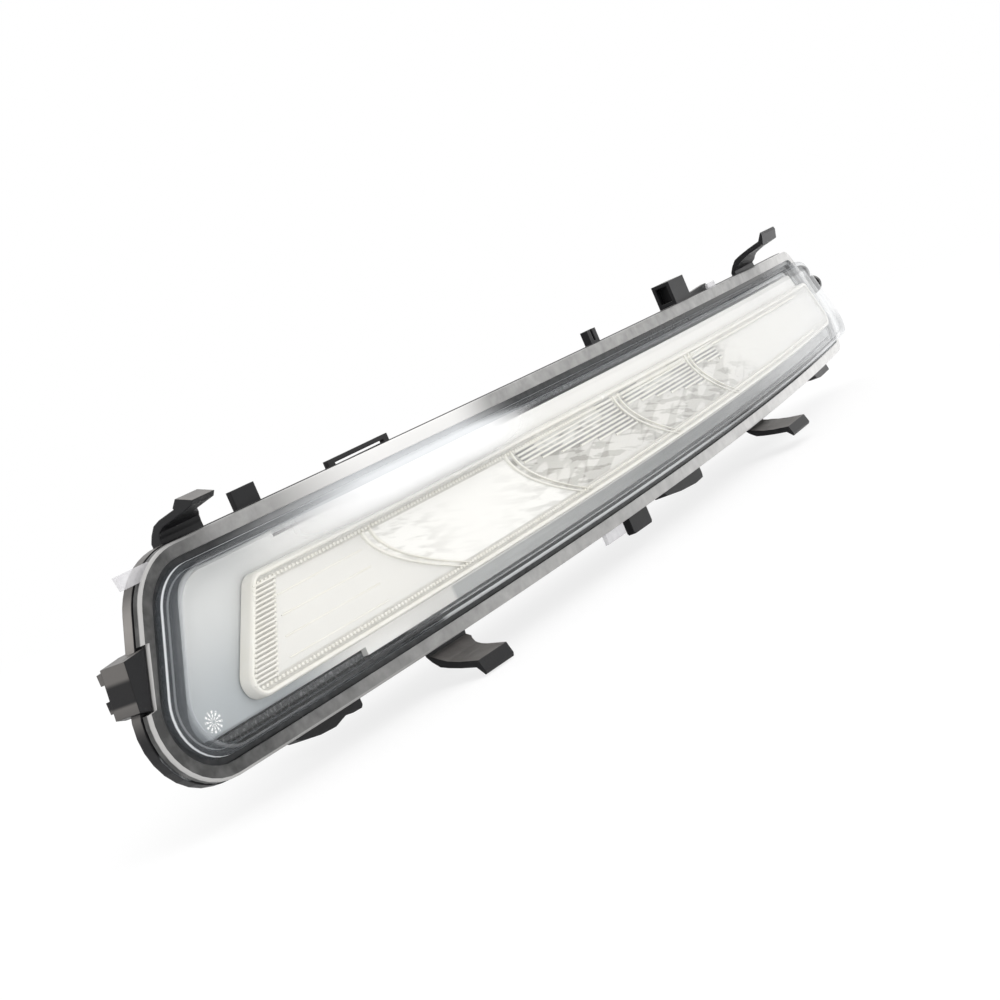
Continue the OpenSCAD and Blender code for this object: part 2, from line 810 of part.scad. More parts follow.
// Long fine ribs on the plain left field
module field_lines() {
  for (k = [0:3])
    translate([window_x0 - 0.407 * left_room - 1.4 * k, strip_mid + 5.7 - 4.4 * k])
      square([0.43 * left_room + 2 * k, 0.5]);
}

// Silvery mask round the optic strip
module bezel() {
  skirt = [8.7, 11.2, 8.7, 13.2];
  wide_left = 20;
  low_step = 7;
  color("#b9bec2")
    difference() {
      union() {
        slab([8.6, 10, 7.1, 12], bezel_front, bezel_back);
        intersection() {
          slab([7.1, 10, 7.1, 12], bezel_front, bezel_back);
          slice(x_bl - cut, window_x0 - wide_left);
        }
        difference() {
          slab(skirt, bezel_back + cut / 2, channel_floor + seat_gap);
          slab([for (d = skirt) d + 1.2], bezel_back + cut, channel_floor - cut);
        }
      }
      intersection() {
        slab([strip_top_inset + 1.2, 0, strip_low_inset + 1.2, 0], cut, bezel_back - cut);
        slice(window_x0, window_x1);
      }
      block(x_bl, window_x0 - low_step, -left_h, skirt[0] + 0.9 - left_h / 2, cut, bezel_back - 0.01);
    }
}

// Flat arc shaped board over the reflector, its emitters look down
module led_board() {
  color("#1f5a3a")
    difference() {
      block(window_x0 + 1, window_x1 - 4, board_z, board_z + board_t, board_front, board_back);
      board_screw_holes();
    }
}

module board_screw_holes() {
  for (x = board_screw_x)
    at_x(x)
      translate([0, -board_screw_off, board_z + 6])
        rotate([90, 0, 0]) rotate([90, 0, 0])
          cylinder(h = 14, r = screw_r + fit_gap, center = true, $fn = 32);
}

module board_screws() {
  color("#8f9296")
    for (x = board_screw_x)
      at_x(x)
        translate([0, -board_screw_off, board_z])
          rotate([90, 0, 0]) screw(board_t + pad_t + sink_t);
}

module thermal_pad() {
  color("#7d8790")
    difference() {
      block(window_x0 + 2, window_x1 - 5, board_z + board_t, board_z + board_t + pad_t,
        board_front - 1, board_back + 0.6);
      board_screw_holes();
    }
}

// White emitter package on the underside of the board above cell c
module led(c) {
  x = (cell_edges[c] + cell_edges[c + 1]) / 2;
  body_w = 3.5;
  body_h = 0.6;
  color("#f4efd2")
    at_x(x)
      translate([0, -led_off, board_z]) {
        translate([-body_w / 2, -body_w / 2, -body_h]) cube([body_w, body_w, body_h]);
        translate([0, 0, -body_h - 0.3]) cylinder(h = 0.4, r = 1.3, $fn = 32);
      }
}

// Aluminium angle behind the reflector with fins to the back
module heat_sink() {
  low = sink_low;
  top = board_z + board_t + pad_t + sink_t;
  fins = [for (k = [0:22]) window_x0 + 6 + fin_pitch * k];
  color("#a9adb1")
    difference() {
      union() {
        block(window_x0 + 2, window_x1 - 5, top - sink_t, top, board_front - 0.6, sink_back);
        block(box_x0 + wall_t + seat_gap, box_x1 - wall_t - seat_gap, low, top, sink_front, sink_back);
        for (x = fins)
          if (abs(x - driver_x) > driver_w / 2 + 5 && x < window_x1 - 8)
            at_x(x)
              translate([-0.6, -sink_back - 0.5, low + 1])
                cube([1.2, sink_back - fin_back + 0.5, top - low - 3]);
      }
      board_screw_holes();
      block(flex_x - 2, flex_x + flex_w + 2, board_z - 1, board_z + 0.3, sink_front + cut, sink_back - cut);
      block(bend_x - 3.5, bend_x + 3, low - cut, low + 6, sink_front + cut, sink_back - cut);
      for (x = sink_screw_x)
        at_x(x)
          translate([0, -sink_back + 3, sink_screw_z])
            rotate([180, 0, 0]) screw_hole(6);
    }
}

module heat_sink_screws() {
  color("#8f9296")
    for (x = sink_screw_x)
      at_x(x)
        translate([0, -sink_back, sink_screw_z])
          rotate([180, 0, 0]) screw(4.2);
}

module driver_board() {
  color("#1f5a3a")
    at_x(driver_x)
      difference() {
        translate([-driver_w / 2, -driver_front, driver_low])
          cube([driver_w, driver_t, board_z - driver_low]);
        for (s = [-driver_screw_off, driver_screw_off])
          translate([s, -driver_front - 1, driver_screw_z]) screw_hole(4);
      }
}

module driver_screws() {
  color("#8f9296")
    at_x(driver_x)
      for (s = [-driver_screw_off, driver_screw_off])
        translate([s, -driver_front, driver_screw_z]) screw(4);
}

module driver_chip() {
  color("#18181a")
    at_x(driver_x)
      translate([-4, -driver_front - 1.4, -3]) cube([8, 1.4, 6]);
}

module driver_coil() {
  color("#3a3a3c")
    at_x(driver_x)
      translate([0.23 * driver_w, -driver_front, 0])
        rotate([90, 0, 0]) {
          cylinder(h = 0.43 * driver_room, r = 4.6, $fn = 48);
          cylinder(h = 0.5 * driver_room, r = 2.4, $fn = 48);
        }
}

module driver_capacitor() {
  color("#b8bbbe")
    at_x(driver_x)
      translate([-0.24 * driver_w, -driver_front, 0])
        rotate([90, 0, 0]) {
          cylinder(h = 0.8, r = 4, $fn = 48);
          cylinder(h = 0.65 * driver_room, r = 3.6, $fn = 48);
        }
}

// Flat lead from the driver through the slot of the heat sink to the emitter board
module flex_lead() {
  color("#b5762c")
    block(flex_x, flex_x + flex_w, board_z - 0.4, board_z - 0.1, board_back + 2.5, driver_front + 0.8);
}

// Round tube along the curve of the lamp
module arc_tube(x0, x1, z, off, r) {
  a0 = asin(x0 / curve_r);
  a1 = asin(x1 / curve_r);
  translate([0, curve_r, 0])
    rotate([0, 0, -90 + a0])
      rotate_extrude(angle = a1 - a0, $fn = 360)
        translate([curve_r + off, z])
          circle(r = r, $fn = 24);
}

// Supply lead from the connector pins round to the driver board
module supply_lead() {
  r = 1.1;
  z = -8.6;
  deep = driver_front;
  shallow = floor_in + r + 0.4;
  color("#26262a") {
    arc_tube(bend_x, plug_x + 3, z, shallow, r);
    arc_tube(driver_x + driver_w / 2 + 1.2, bend_x, z, deep, r);
    at_x(bend_x)
      translate([0, -shallow, z])
        rotate([-90, 0, 0]) cylinder(h = shallow - deep, r = r, $fn = 24);
    at_x(bend_x) translate([0, -shallow, z]) sphere(r = r + 0.15, $fn = 32);
    at_x(bend_x) translate([0, -deep, z]) sphere(r = r + 0.15, $fn = 32);
  }
}

// Socket for the vehicle plug, open to the back
module plug_shroud() {
  at_x(plug_x)
    translate([-plug_w / 2 - plug_wall, tray_depth - 1, -plug_h / 2 - plug_wall])
      cube([plug_w + 2 * plug_wall, plug_depth + 1, plug_h + 2 * plug_wall]);
  at_x(vent_x)
    translate([0, tray_depth - 1, 0])
      rotate([-90, 0, 0]) cylinder(h = 4, r = 3.4, $fn = 48);
}

module plug_space() {
  at_x(plug_x) {
    translate([-plug_w / 2, tray_depth, -plug_h / 2])
      cube([plug_w, plug_depth + cut, plug_h]);
    for (k = [0:pin_n - 1])
      translate([pin_x(k) - pin_w / 2 - 0.1, -floor_in - cut, -pin_w / 2 - 0.1])
        cube([pin_w + 0.2, wall_t + 2 * cut, pin_w + 0.2]);
  }
  at_x(vent_x)
    translate([0, -floor_in - cut, 0])
      rotate([-90, 0, 0]) cylinder(h = 12, r = 1.6, $fn = 48);
}

pin_w = 0.8;
function pin_x(k) = (k - (pin_n - 1) / 2) * 4;

module connector_pins() {
  color("#c9b98a")
    at_x(plug_x)
      for (k = [0:pin_n - 1]) {
        translate([pin_x(k) - pin_w / 2, -floor_in - 2, -pin_w / 2])
          cube([pin_w, wall_t + 2 + plug_depth - 5, pin_w]);
        translate([pin_x(k) - pin_w / 2, -floor_in - 2, -7.2])
          cube([pin_w, 0.8, 7.2]);
      }
}

module rear_cover() {
  front = box_back - 0.4;
  post_h = 0.7 * cover_t - front + driver_front - driver_t;
  color("#2b2b2e")
    difference() {
      union() {
        intersection() {
          slab(box_ins, front, front - cover_t);
          slice(box_x0, box_x1);
        }
        for (k = [0:6])
          block(box_x0 + 30 + 40 * k, box_x0 + 32 + 40 * k, -12, 13, front - cut, front - cover_t - 1.2);
        at_x(driver_x)
          for (s = [-driver_screw_off, driver_screw_off])
            translate([s, -driver_front + driver_t, driver_screw_z])
              rotate([-90, 0, 0]) cylinder(h = post_h, r = 2.6, $fn = 32);
      }
      at_x(driver_x)
        for (s = [-driver_screw_off, driver_screw_off])
          translate([s, -driver_front, driver_screw_z]) screw_hole(4.6);
      for (s = cover_screw_places)
        at_x(s[0])
          translate([0, -front + cover_t, s[1]])
            rotate([180, 0, 0]) screw_hole(cover_t + 2);
    }
}

module rear_cover_seal() {
  color("#3a4046")
    difference() {
      intersection() {
        slab([for (e = box_ins) e + 0.3], box_back, box_back - 0.4);
        slice(box_x0 + 0.3, box_x1 - 0.3);
      }
      intersection() {
        slab([for (e = box_ins) e + wall_t - 0.3], box_back + cut, box_back - cut);
        slice(box_x0 + wall_t - 0.3, box_x1 - wall_t + 0.3);
      }
    }
}

// Bosses for the cover screws, part of the housing
module cover_bosses() {
  for (s = cover_screw_places)
    at_x(s[0])
      translate([0, -boss_front, s[1]])
        rotate([-90, 0, 0]) cylinder(h = box_depth + boss_front, r = boss_r, $fn = 32);
}

module cover_screws() {
  color("#8f9296")
    for (s = cover_screw_places)
      at_x(s[0])
        translate([0, -box_back + 0.4 + cover_t + 0.05, s[1]])
          rotate([180, 0, 0]) screw(6);
}

// Breather cap over the vent spout
module vent_cap() {
  color("#2b2b2e")
    at_x(vent_x)
      translate([0, tray_depth + 0.3, 0])
        rotate([-90, 0, 0])
          difference() {
            cylinder(h = 5, r = 5, $fn = 48);
            translate([0, 0, -cut]) cylinder(h = 4.2, r = 3.4 + fit_gap, $fn = 48);
          }
}

housing();
outer_lens();
seal_bead();
bezel();
inner_lens();
reflector();
reflector_screws();
led_board();
led(0);  // led_1
led(1);  // led_2
led(2);  // led_3
led(3);  // led_4
board_screws();
heat_sink();
heat_sink_screws();
thermal_pad();
driver_board();
driver_chip();
driver_coil();
driver_capacitor();
driver_screws();
flex_lead();
supply_lead();
connector_pins();
rear_cover();
rear_cover_seal();
cover_screws();
vent_cap();
lug_sleeve();
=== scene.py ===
"""Looks of a long daytime running light: clear dome lens, ribbed strip, silver mask and black housing."""

import math

import bmesh
import bpy
from mathutils import Matrix, Vector


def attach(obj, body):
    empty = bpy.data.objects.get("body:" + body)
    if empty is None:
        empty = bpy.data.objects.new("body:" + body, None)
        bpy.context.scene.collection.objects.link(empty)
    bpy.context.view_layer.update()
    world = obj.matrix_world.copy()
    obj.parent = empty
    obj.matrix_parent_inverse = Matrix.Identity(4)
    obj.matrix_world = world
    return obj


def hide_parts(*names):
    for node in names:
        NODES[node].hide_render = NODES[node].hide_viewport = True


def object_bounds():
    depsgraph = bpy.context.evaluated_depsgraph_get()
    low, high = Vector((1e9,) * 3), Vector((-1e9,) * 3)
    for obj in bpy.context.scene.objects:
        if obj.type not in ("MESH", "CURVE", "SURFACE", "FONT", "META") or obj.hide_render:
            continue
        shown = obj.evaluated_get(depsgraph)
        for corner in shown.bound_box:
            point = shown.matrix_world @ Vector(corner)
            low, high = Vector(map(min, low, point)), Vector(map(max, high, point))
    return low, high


bl_info = {
    "name": "Daytime running light looks",
    "version": (1, 0, 0),
    "blender": (4, 5, 0),
    "location": "View3D > Sidebar > Running light",
    "description": "Finishes and fine pieces of a daytime running light on its packed frame",
    "category": "Object",
}

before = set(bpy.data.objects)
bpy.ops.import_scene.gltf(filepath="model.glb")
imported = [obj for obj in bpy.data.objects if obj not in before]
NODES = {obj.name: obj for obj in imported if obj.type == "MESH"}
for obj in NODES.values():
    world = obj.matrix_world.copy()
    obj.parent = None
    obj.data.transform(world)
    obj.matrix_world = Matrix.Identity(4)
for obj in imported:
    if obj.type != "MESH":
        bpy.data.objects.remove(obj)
cad_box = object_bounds()

MM = 0.001
# Radius of the flange face in plan, in metres
CURVE_R = 1.280

# The camera of the photograph, fitted to the outline of the lens flange
EYE = Vector((-0.578554, -0.262926, 0.041205))
EYE_BACK = Vector((-0.870654, -0.485794, 0.077241))
EYE_ROLL = math.radians(-23.3)
FLOOR_HALF = 6.0
SOFTBOX_PLACE = Vector((-0.5, -0.9, 1.1))
SOFTBOX_SIZE = 0.9

# The outline of the lens flange in the front view, in millimetres: top left, top right, low right, low left
CORNERS = [Vector((-222.0, 25.0)), Vector((187.0, 21.5)), Vector((234.0, -21.5)), Vector((-245.0, -25.0))]
CORNER_RADII = [17.0, 13.0, 10.0, 16.0]
# Sides of that outline, each from one corner to the next
TOP, RIGHT, BOTTOM, LEFT = range(4)
ARC_STEPS = 12
# Each outline of a stepped front stands this much further forward than its neighbour
STAGGER = 0.002
# Distance between the cuts that let a long piece follow the curve
BEND_PITCH = 6.0
SHARP_ANGLE = math.radians(35.0)

LENS_INSET = 0.15
LENS_WALL = 1.5
FLANGE, GROOVE, DOME, GATE, SHOULDER, RIM = range(6)
# Heights of the step in the flange around the bracket on the left end
NOTCH_HIGH, NOTCH_LOW = 8.4, -4.6

# The optic strip stands inside the same outline, with its left end leaning a little more
STRIP_INSETS = [13.4, 9.0, 11.2, 26.0]
STRIP_CORNERS = [Vector((-217.5, 25.0)), CORNERS[1], CORNERS[2], Vector((-250.5, -25.0))]
PLAIN, CLEAR, SHADE, CHANNEL = range(4)
# Left edges of the optic cells, how far their ribs lean to the right at the bottom and how they curve
CELL_EDGES = [-158.0, -93.0, -28.0, 29.0, 56.0]
RIB_LEAN, RIB_POWER = 31.0, 1.75
RIB_LOW, RIB_TOP = -10.8, 8.2
FLUTE_COUNT, FLUTE_PITCH = 9, 1.16
# The column of prism bars at the left end of the strip, which leans as that end does
PRISM_COUNT, PRISM_PITCH, PRISM_SLANT = 21, 0.939, 0.586
PRISM_X, PRISM_TOP, PRISM_LENGTH = -201.2, 9.2, 6.4
# Border beads stand this far inside the strip's outline
BEAD_INSET, BEAD_PITCH, BEAD_RADIUS = 2.4, 1.35, 0.5

# The small ornament low on the left of the mask
BURST_X, BURST_Z, BURST_SPOKES = -218.7, -12.6, 12
# How far from the outline the walls behind the lens count as rounded at the corners, in metres
CORNER_REACH = 0.013


class Field:
    """A number that varies over a surface: a socket whose arithmetic adds Math nodes."""

    def __init__(self, paint, socket):
        self.paint = paint
        self.socket = socket

    def math(self, operation, *others):
        values = {0: self}
        for slot, other in enumerate(others):
            values[slot + 1] = other
        made = self.paint.node("ShaderNodeMath", {"operation": operation}, values)
        return Field(self.paint, made.outputs[0])

    def flipped(self, operation, other):
        made = self.paint.node("ShaderNodeMath", {"operation": operation}, {0: other, 1: self})
        return Field(self.paint, made.outputs[0])

    def __add__(self, other):
        return self.math("ADD", other)

    def __radd__(self, other):
        return self.flipped("ADD", other)

    def __sub__(self, other):
        return self.math("SUBTRACT", other)

    def __rsub__(self, other):
        return self.flipped("SUBTRACT", other)

    def __mul__(self, other):
        return self.math("MULTIPLY", other)

    def __rmul__(self, other):
        return self.flipped("MULTIPLY", other)

    def __truediv__(self, other):
        return self.math("DIVIDE", other)

    def __rtruediv__(self, other):
        return self.flipped("DIVIDE", other)

    def __pow__(self, other):
        return self.math("POWER", other)

    def __abs__(self):
        return self.math("ABSOLUTE")

    def fract(self):
        return self.math("FRACT")

    def sqrt(self):
        return self.math("SQRT")

    def low(self, other):
        return self.math("MINIMUM", other)

    def high(self, other):
        return self.math("MAXIMUM", other)

    def ramp(self, start, end):
        """0 below start and 1 above end, smooth between; falls when start is above end."""
        made = self.paint.node(
            "ShaderNodeMapRange",
            {"interpolation_type": "SMOOTHSTEP"},
            {"Value": self, "From Min": start, "From Max": end, "To Min": 0.0, "To Max": 1.0},
        )
        return Field(self.paint, made.outputs[0])


class Paint:
    """A material or world under construction, with one method that adds any node."""

    def __init__(self, name, world=None):
        self.owner = world or bpy.data.materials.new(name)
        self.owner.use_nodes = True
        self.tree = self.owner.node_tree
        self.tree.nodes.clear()
        self.output = self.node("ShaderNodeOutputWorld" if world else "ShaderNodeOutputMaterial")
        self.object_place = self.node("ShaderNodeTexCoord").outputs["Generated" if world else "Object"]
        split = self.node("ShaderNodeSeparateXYZ", None, {0: self.object_place})
        self.x = Field(self, split.outputs[0])
        self.y = Field(self, split.outputs[1])
        self.z = Field(self, split.outputs[2])

    def node(self, kind, settings=None, values=None):
        made = self.tree.nodes.new(kind)
        for key, value in (settings or {}).items():
            if key == "stops":
                self.set_stops(made.color_ramp, value)
            else:
                setattr(made, key, value)
        for key, value in (values or {}).items():
            self.feed(made.inputs[key], value)
        return made

    def feed(self, socket, value):
        if isinstance(value, Field):
            self.tree.links.new(value.socket, socket)
        elif isinstance(value, bpy.types.NodeSocket):
            self.tree.links.new(value, socket)
        else:
            socket.default_value = value

    @staticmethod
    def set_stops(ramp, stops):
        while len(ramp.elements) < len(stops):
            ramp.elements.new(0.5)
        for element, (position, colour) in zip(ramp.elements, stops):
            element.position = position
            element.color = (*colour, 1.0)

    def stretched(self, sx, sy, sz, tilt=0.0):
        """Object coordinates turned about y, then scaled along each axis, for patterns drawn out one way."""
        turned = self.node("ShaderNodeMapping", None, {"Vector": self.object_place, "Rotation": (0, tilt, 0)})
        made = self.node("ShaderNodeMapping", None, {"Vector": turned.outputs[0], "Scale": (sx, sy, sz)})
        return made.outputs[0]

    def facing(self):
        """How far the surface turns away from the eye, from 0 to 1."""
        return Field(self, self.node("ShaderNodeLayerWeight", None, {"Blend": 0.5}).outputs["Facing"])

    def near(self, x, z, size):
        """1 at a point of the front view in millimetres, falling to 0 at a distance of size millimetres."""
        across = self.x - x * MM
        height = self.z - z * MM
        return (across * across + height * height).sqrt().ramp(size * MM, 0.0)

    def normal(self):
        """The way the surface faces, along x, y and z."""
        facing = self.node("ShaderNodeNewGeometry").outputs["Normal"]
        split = self.node("ShaderNodeSeparateXYZ", None, {0: facing})
        return [Field(self, socket) for socket in split.outputs]

    def noise(self, size, detail=3.0, rough=0.5, vector=None, warp=0.0):
        """Soft noise from 0 to 1 whose blobs are about size metres wide."""
        made = self.node(
            "ShaderNodeTexNoise",
            None,
            {
                "Vector": vector or self.object_place,
                "Scale": 1.0 / size,
                "Detail": detail,
                "Roughness": rough,
                "Distortion": warp,
            },
        )
        return Field(self, made.outputs[0])

    def cells(self, size, vector):
        """Distance to the nearest random point, points about size metres apart."""
        made = self.node("ShaderNodeTexVoronoi", {"feature": "F1"}, {"Vector": vector, "Scale": 1.0 / size})
        return Field(self, made.outputs["Distance"])

    def blend(self, factor, first, second):
        """Colour that goes from first to second as factor goes from 0 to 1."""
        made = self.node(
            "ShaderNodeMix",
            {"data_type": "RGBA", "clamp_factor": True},
            {"Factor": factor, 6: rgba(first), 7: rgba(second)},
        )
        return made.outputs[2]

    def bump(self, height, distance, strength=1.0, normal=None):
        values = {"Height": height, "Distance": distance, "Strength": strength}
        if normal:
            values["Normal"] = normal
        return self.node("ShaderNodeBump", None, values).outputs[0]

    def surface(self, **values):
        """The principled shader, its sockets named with underscores for spaces."""
        sockets = {key.replace("_", " "): value for key, value in values.items()}
        return self.node("ShaderNodeBsdfPrincipled", None, sockets).outputs[0]

    def mixed(self, factor, first, second):
        made = self.node("ShaderNodeMixShader", None, {0: factor, 1: first, 2: second})
        return made.outputs[0]

    def finish(self, shader):
        self.feed(self.output.inputs["Surface"], shader)
        return self.owner

    def forward(self):
        """Distance in front of the curved flange face, in metres."""
        back = CURVE_R - self.y
        return (self.x * self.x + back * back).sqrt() - CURVE_R

    def from_edge(self, side):
        """How far inside one side of the flange's outline a point lies in the front view, in metres."""
        corner = CORNERS[side]
        run = (CORNERS[(side + 1) % len(CORNERS)] - corner).normalized()
        return (self.x - corner.x * MM) * run.y - (self.z - corner.y * MM) * run.x


def rounded_front(bm, corners, insets, radii, depth):
    """A face with its edges moved inward and its corners rounded, depth behind the flange face."""
    lines = []
    for corner, following in zip(corners, corners[1:] + corners[:1]):
        run = (following - corner).normalized()
        lines.append((corner, run, Vector((run.y, -run.x))))
    first = last = None
    chain = []
    for now in range(4):
        start, run, inward = lines[now]
        past, past_run, past_inward = lines[now - 1]
        start = start + inward * insets[now]
        past = past + past_inward * insets[now - 1]
        turn = past_run.angle(run)
        step = (start - past).cross(run) / past_run.cross(run) - radii[now] * math.tan(turn / 2)
        touch = past + past_run * step
        hub = touch + past_inward * radii[now]
        vert = bm.verts.new((touch.x, depth, touch.y))
        if last:
            chain.append(bm.edges.new((last, vert)))
        first = first or vert
        centre = (hub.x, depth, hub.y)
        arc = bmesh.ops.spin(bm, geom=[vert], cent=centre, axis=(0, 1, 0), angle=turn, steps=ARC_STEPS)
        last = next(item for item in arc["geom_last"] if isinstance(item, bmesh.types.BMVert))
        walk = vert
        while walk is not last:
            edge = next(item for item in walk.link_edges if item not in chain)
            chain.append(edge)
            walk = edge.other_vert(walk)
    chain.append(bm.edges.new((last, first)))
    return bmesh.ops.contextual_create(bm, geom=chain)["faces"][0]


def stepped_front(bm, corners, insets, radii, steps):
    """Rounded outlines joined one inside the other; a step is how far in, how far forward and a zone.

    Every outline stands a hair further forward than its neighbour, because level ones can be bridged
    crosswise.
    """
    past = None
    for number, (inset, forward, zone) in enumerate(steps):
        moved = [edge + inset for edge in insets]
        rounded = [max(radius - inset, 0.5) for radius in radii]
        face = rounded_front(bm, corners, moved, rounded, -forward - STAGGER * number)
        edges = face.edges[:]
        if past:
            for part in bmesh.ops.bridge_loops(bm, edges=past + edges)["faces"]:
                part.material_index = zone
        face.material_index = zone
        if number < len(steps) - 1:
            bm.faces.remove(face)
        past = edges


def cut_along(bm):
    """Cuts the flat shape across its length, so that it can follow the curve of the lamp."""
    low = min(vert.co.x for vert in bm.verts)
    high = max(vert.co.x for vert in bm.verts)
    count = int((high - low) / BEND_PITCH)
    for k in range(1, count):
        whole = bm.verts[:] + bm.edges[:] + bm.faces[:]
        place = (low + (high - low) * k / count, 0, 0)
        bmesh.ops.bisect_plane(bm, geom=whole, plane_co=place, plane_no=(1, 0, 0), dist=0.0005)


def absorb(bm, part):
    """Adds a small finished bmesh to a larger one."""
    mesh = bpy.data.meshes.new("part")
    part.to_mesh(mesh)
    part.free()
    bm.from_mesh(mesh)
    bpy.data.meshes.remove(mesh)


def bar(bm, x0, x1, z0, z1, front, back, round_by=0.0, cuts=0, warp=None, zone=0):
    """A bar on the flat front view, its front edges rounded, cut across z and pushed along x by warp(z)."""
    part = bmesh.new()
    middle = ((x0 + x1) / 2, (front + back) / 2, (z0 + z1) / 2)
    sized = Matrix.Translation(middle) @ Matrix.Diagonal((x1 - x0, back - front, z1 - z0, 1.0))
    bmesh.ops.create_cube(part, size=1.0, matrix=sized)
    if round_by:
        near = min(vert.co.y for vert in part.verts) + 1e-4
        edges = [edge for edge in part.edges if all(end.co.y < near for end in edge.verts)]
        bmesh.ops.bevel(
            part, geom=edges, offset=round_by, offset_type="OFFSET", segments=2, profile=0.5, affect="EDGES",
            material=-1,
        )
    for k in range(1, cuts):
        whole = part.verts[:] + part.edges[:] + part.faces[:]
        place = (0, 0, z0 + (z1 - z0) * k / cuts)
        bmesh.ops.bisect_plane(part, geom=whole, plane_co=place, plane_no=(0, 0, 1), dist=0.0001)
    for face in part.faces:
        face.material_index = zone
    if warp:
        for vert in part.verts:
            vert.co.x += warp(vert.co.z)
    absorb(bm, part)


def bend(bm):
    """Carries the flat shape, whose y is the depth behind the flange face, to the lamp's curve, in metres."""
    radius = CURVE_R / MM
    for vert in bm.verts:
        x, depth, z = vert.co
        vert.co = Vector((x, radius - math.sqrt((radius - depth) ** 2 - x * x), z)) * MM


def settle(bm, name, materials, stands_for):
    """Turns a bmesh into a finished piece that rides on the lamp and stands for a CAD node."""
    bmesh.ops.recalc_face_normals(bm, faces=bm.faces[:])
    for face in bm.faces:
        face.smooth = True
    mesh = bpy.data.meshes.new(name)
    bm.to_mesh(mesh)
    bm.free()
    mesh.set_sharp_from_angle(angle=SHARP_ANGLE)
    for material in materials:
        mesh.materials.append(material)
    piece = bpy.data.objects.new(name, mesh)
    bpy.context.scene.collection.objects.link(piece)
    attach(piece, "root")
    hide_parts(stands_for)


def rgba(colour):
    """A colour as a socket takes it; a linked socket stays as it is."""
    if isinstance(colour, bpy.types.NodeSocket):
        return colour
    return (*colour, 1.0)


def dress(material, *names):
    """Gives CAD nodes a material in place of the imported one."""
    for name in names:
        mesh = NODES[name].data
        mesh.materials.clear()
        mesh.materials.append(material)


class LampColours(bpy.types.PropertyGroup):
    """Colours of the lamp's finishes."""

    housing: bpy.props.FloatVectorProperty(
        name="Housing", description="Black of the moulded housing", subtype="COLOR",
        default=(0.009, 0.009, 0.01),
    )
    mask: bpy.props.FloatVectorProperty(
        name="Mask", description="Silver lacquer of the mask", subtype="COLOR",
        default=(0.88, 0.87, 0.845),
    )
    optic: bpy.props.FloatVectorProperty(
        name="Optic strip", description="Tone of the clear optic strip", subtype="COLOR",
        default=(0.95, 0.94, 0.91),
    )
    flange: bpy.props.FloatVectorProperty(
        name="Lens flange", description="Grey that shows through the lens flange", subtype="COLOR",
        default=(0.25, 0.25, 0.245),
    )


class StageSettings(bpy.types.PropertyGroup):
    """Camera, floor and lights."""

    focal: bpy.props.FloatProperty(
        name="Focal length", description="Camera lens on a 36 mm sensor", default=79.47, min=10.0
    )
    sky: bpy.props.FloatProperty(
        name="Sky", description="Strength of the even light from all sides", default=1.06, min=0.0
    )
    key: bpy.props.FloatProperty(
        name="Key light", description="Power of the large soft lamp", default=4.0, min=0.0, unit="POWER"
    )
    floor_drop: bpy.props.FloatProperty(
        name="Floor drop", description="Distance from the lamp down to the floor", default=0.0005,
        unit="LENGTH",
    )


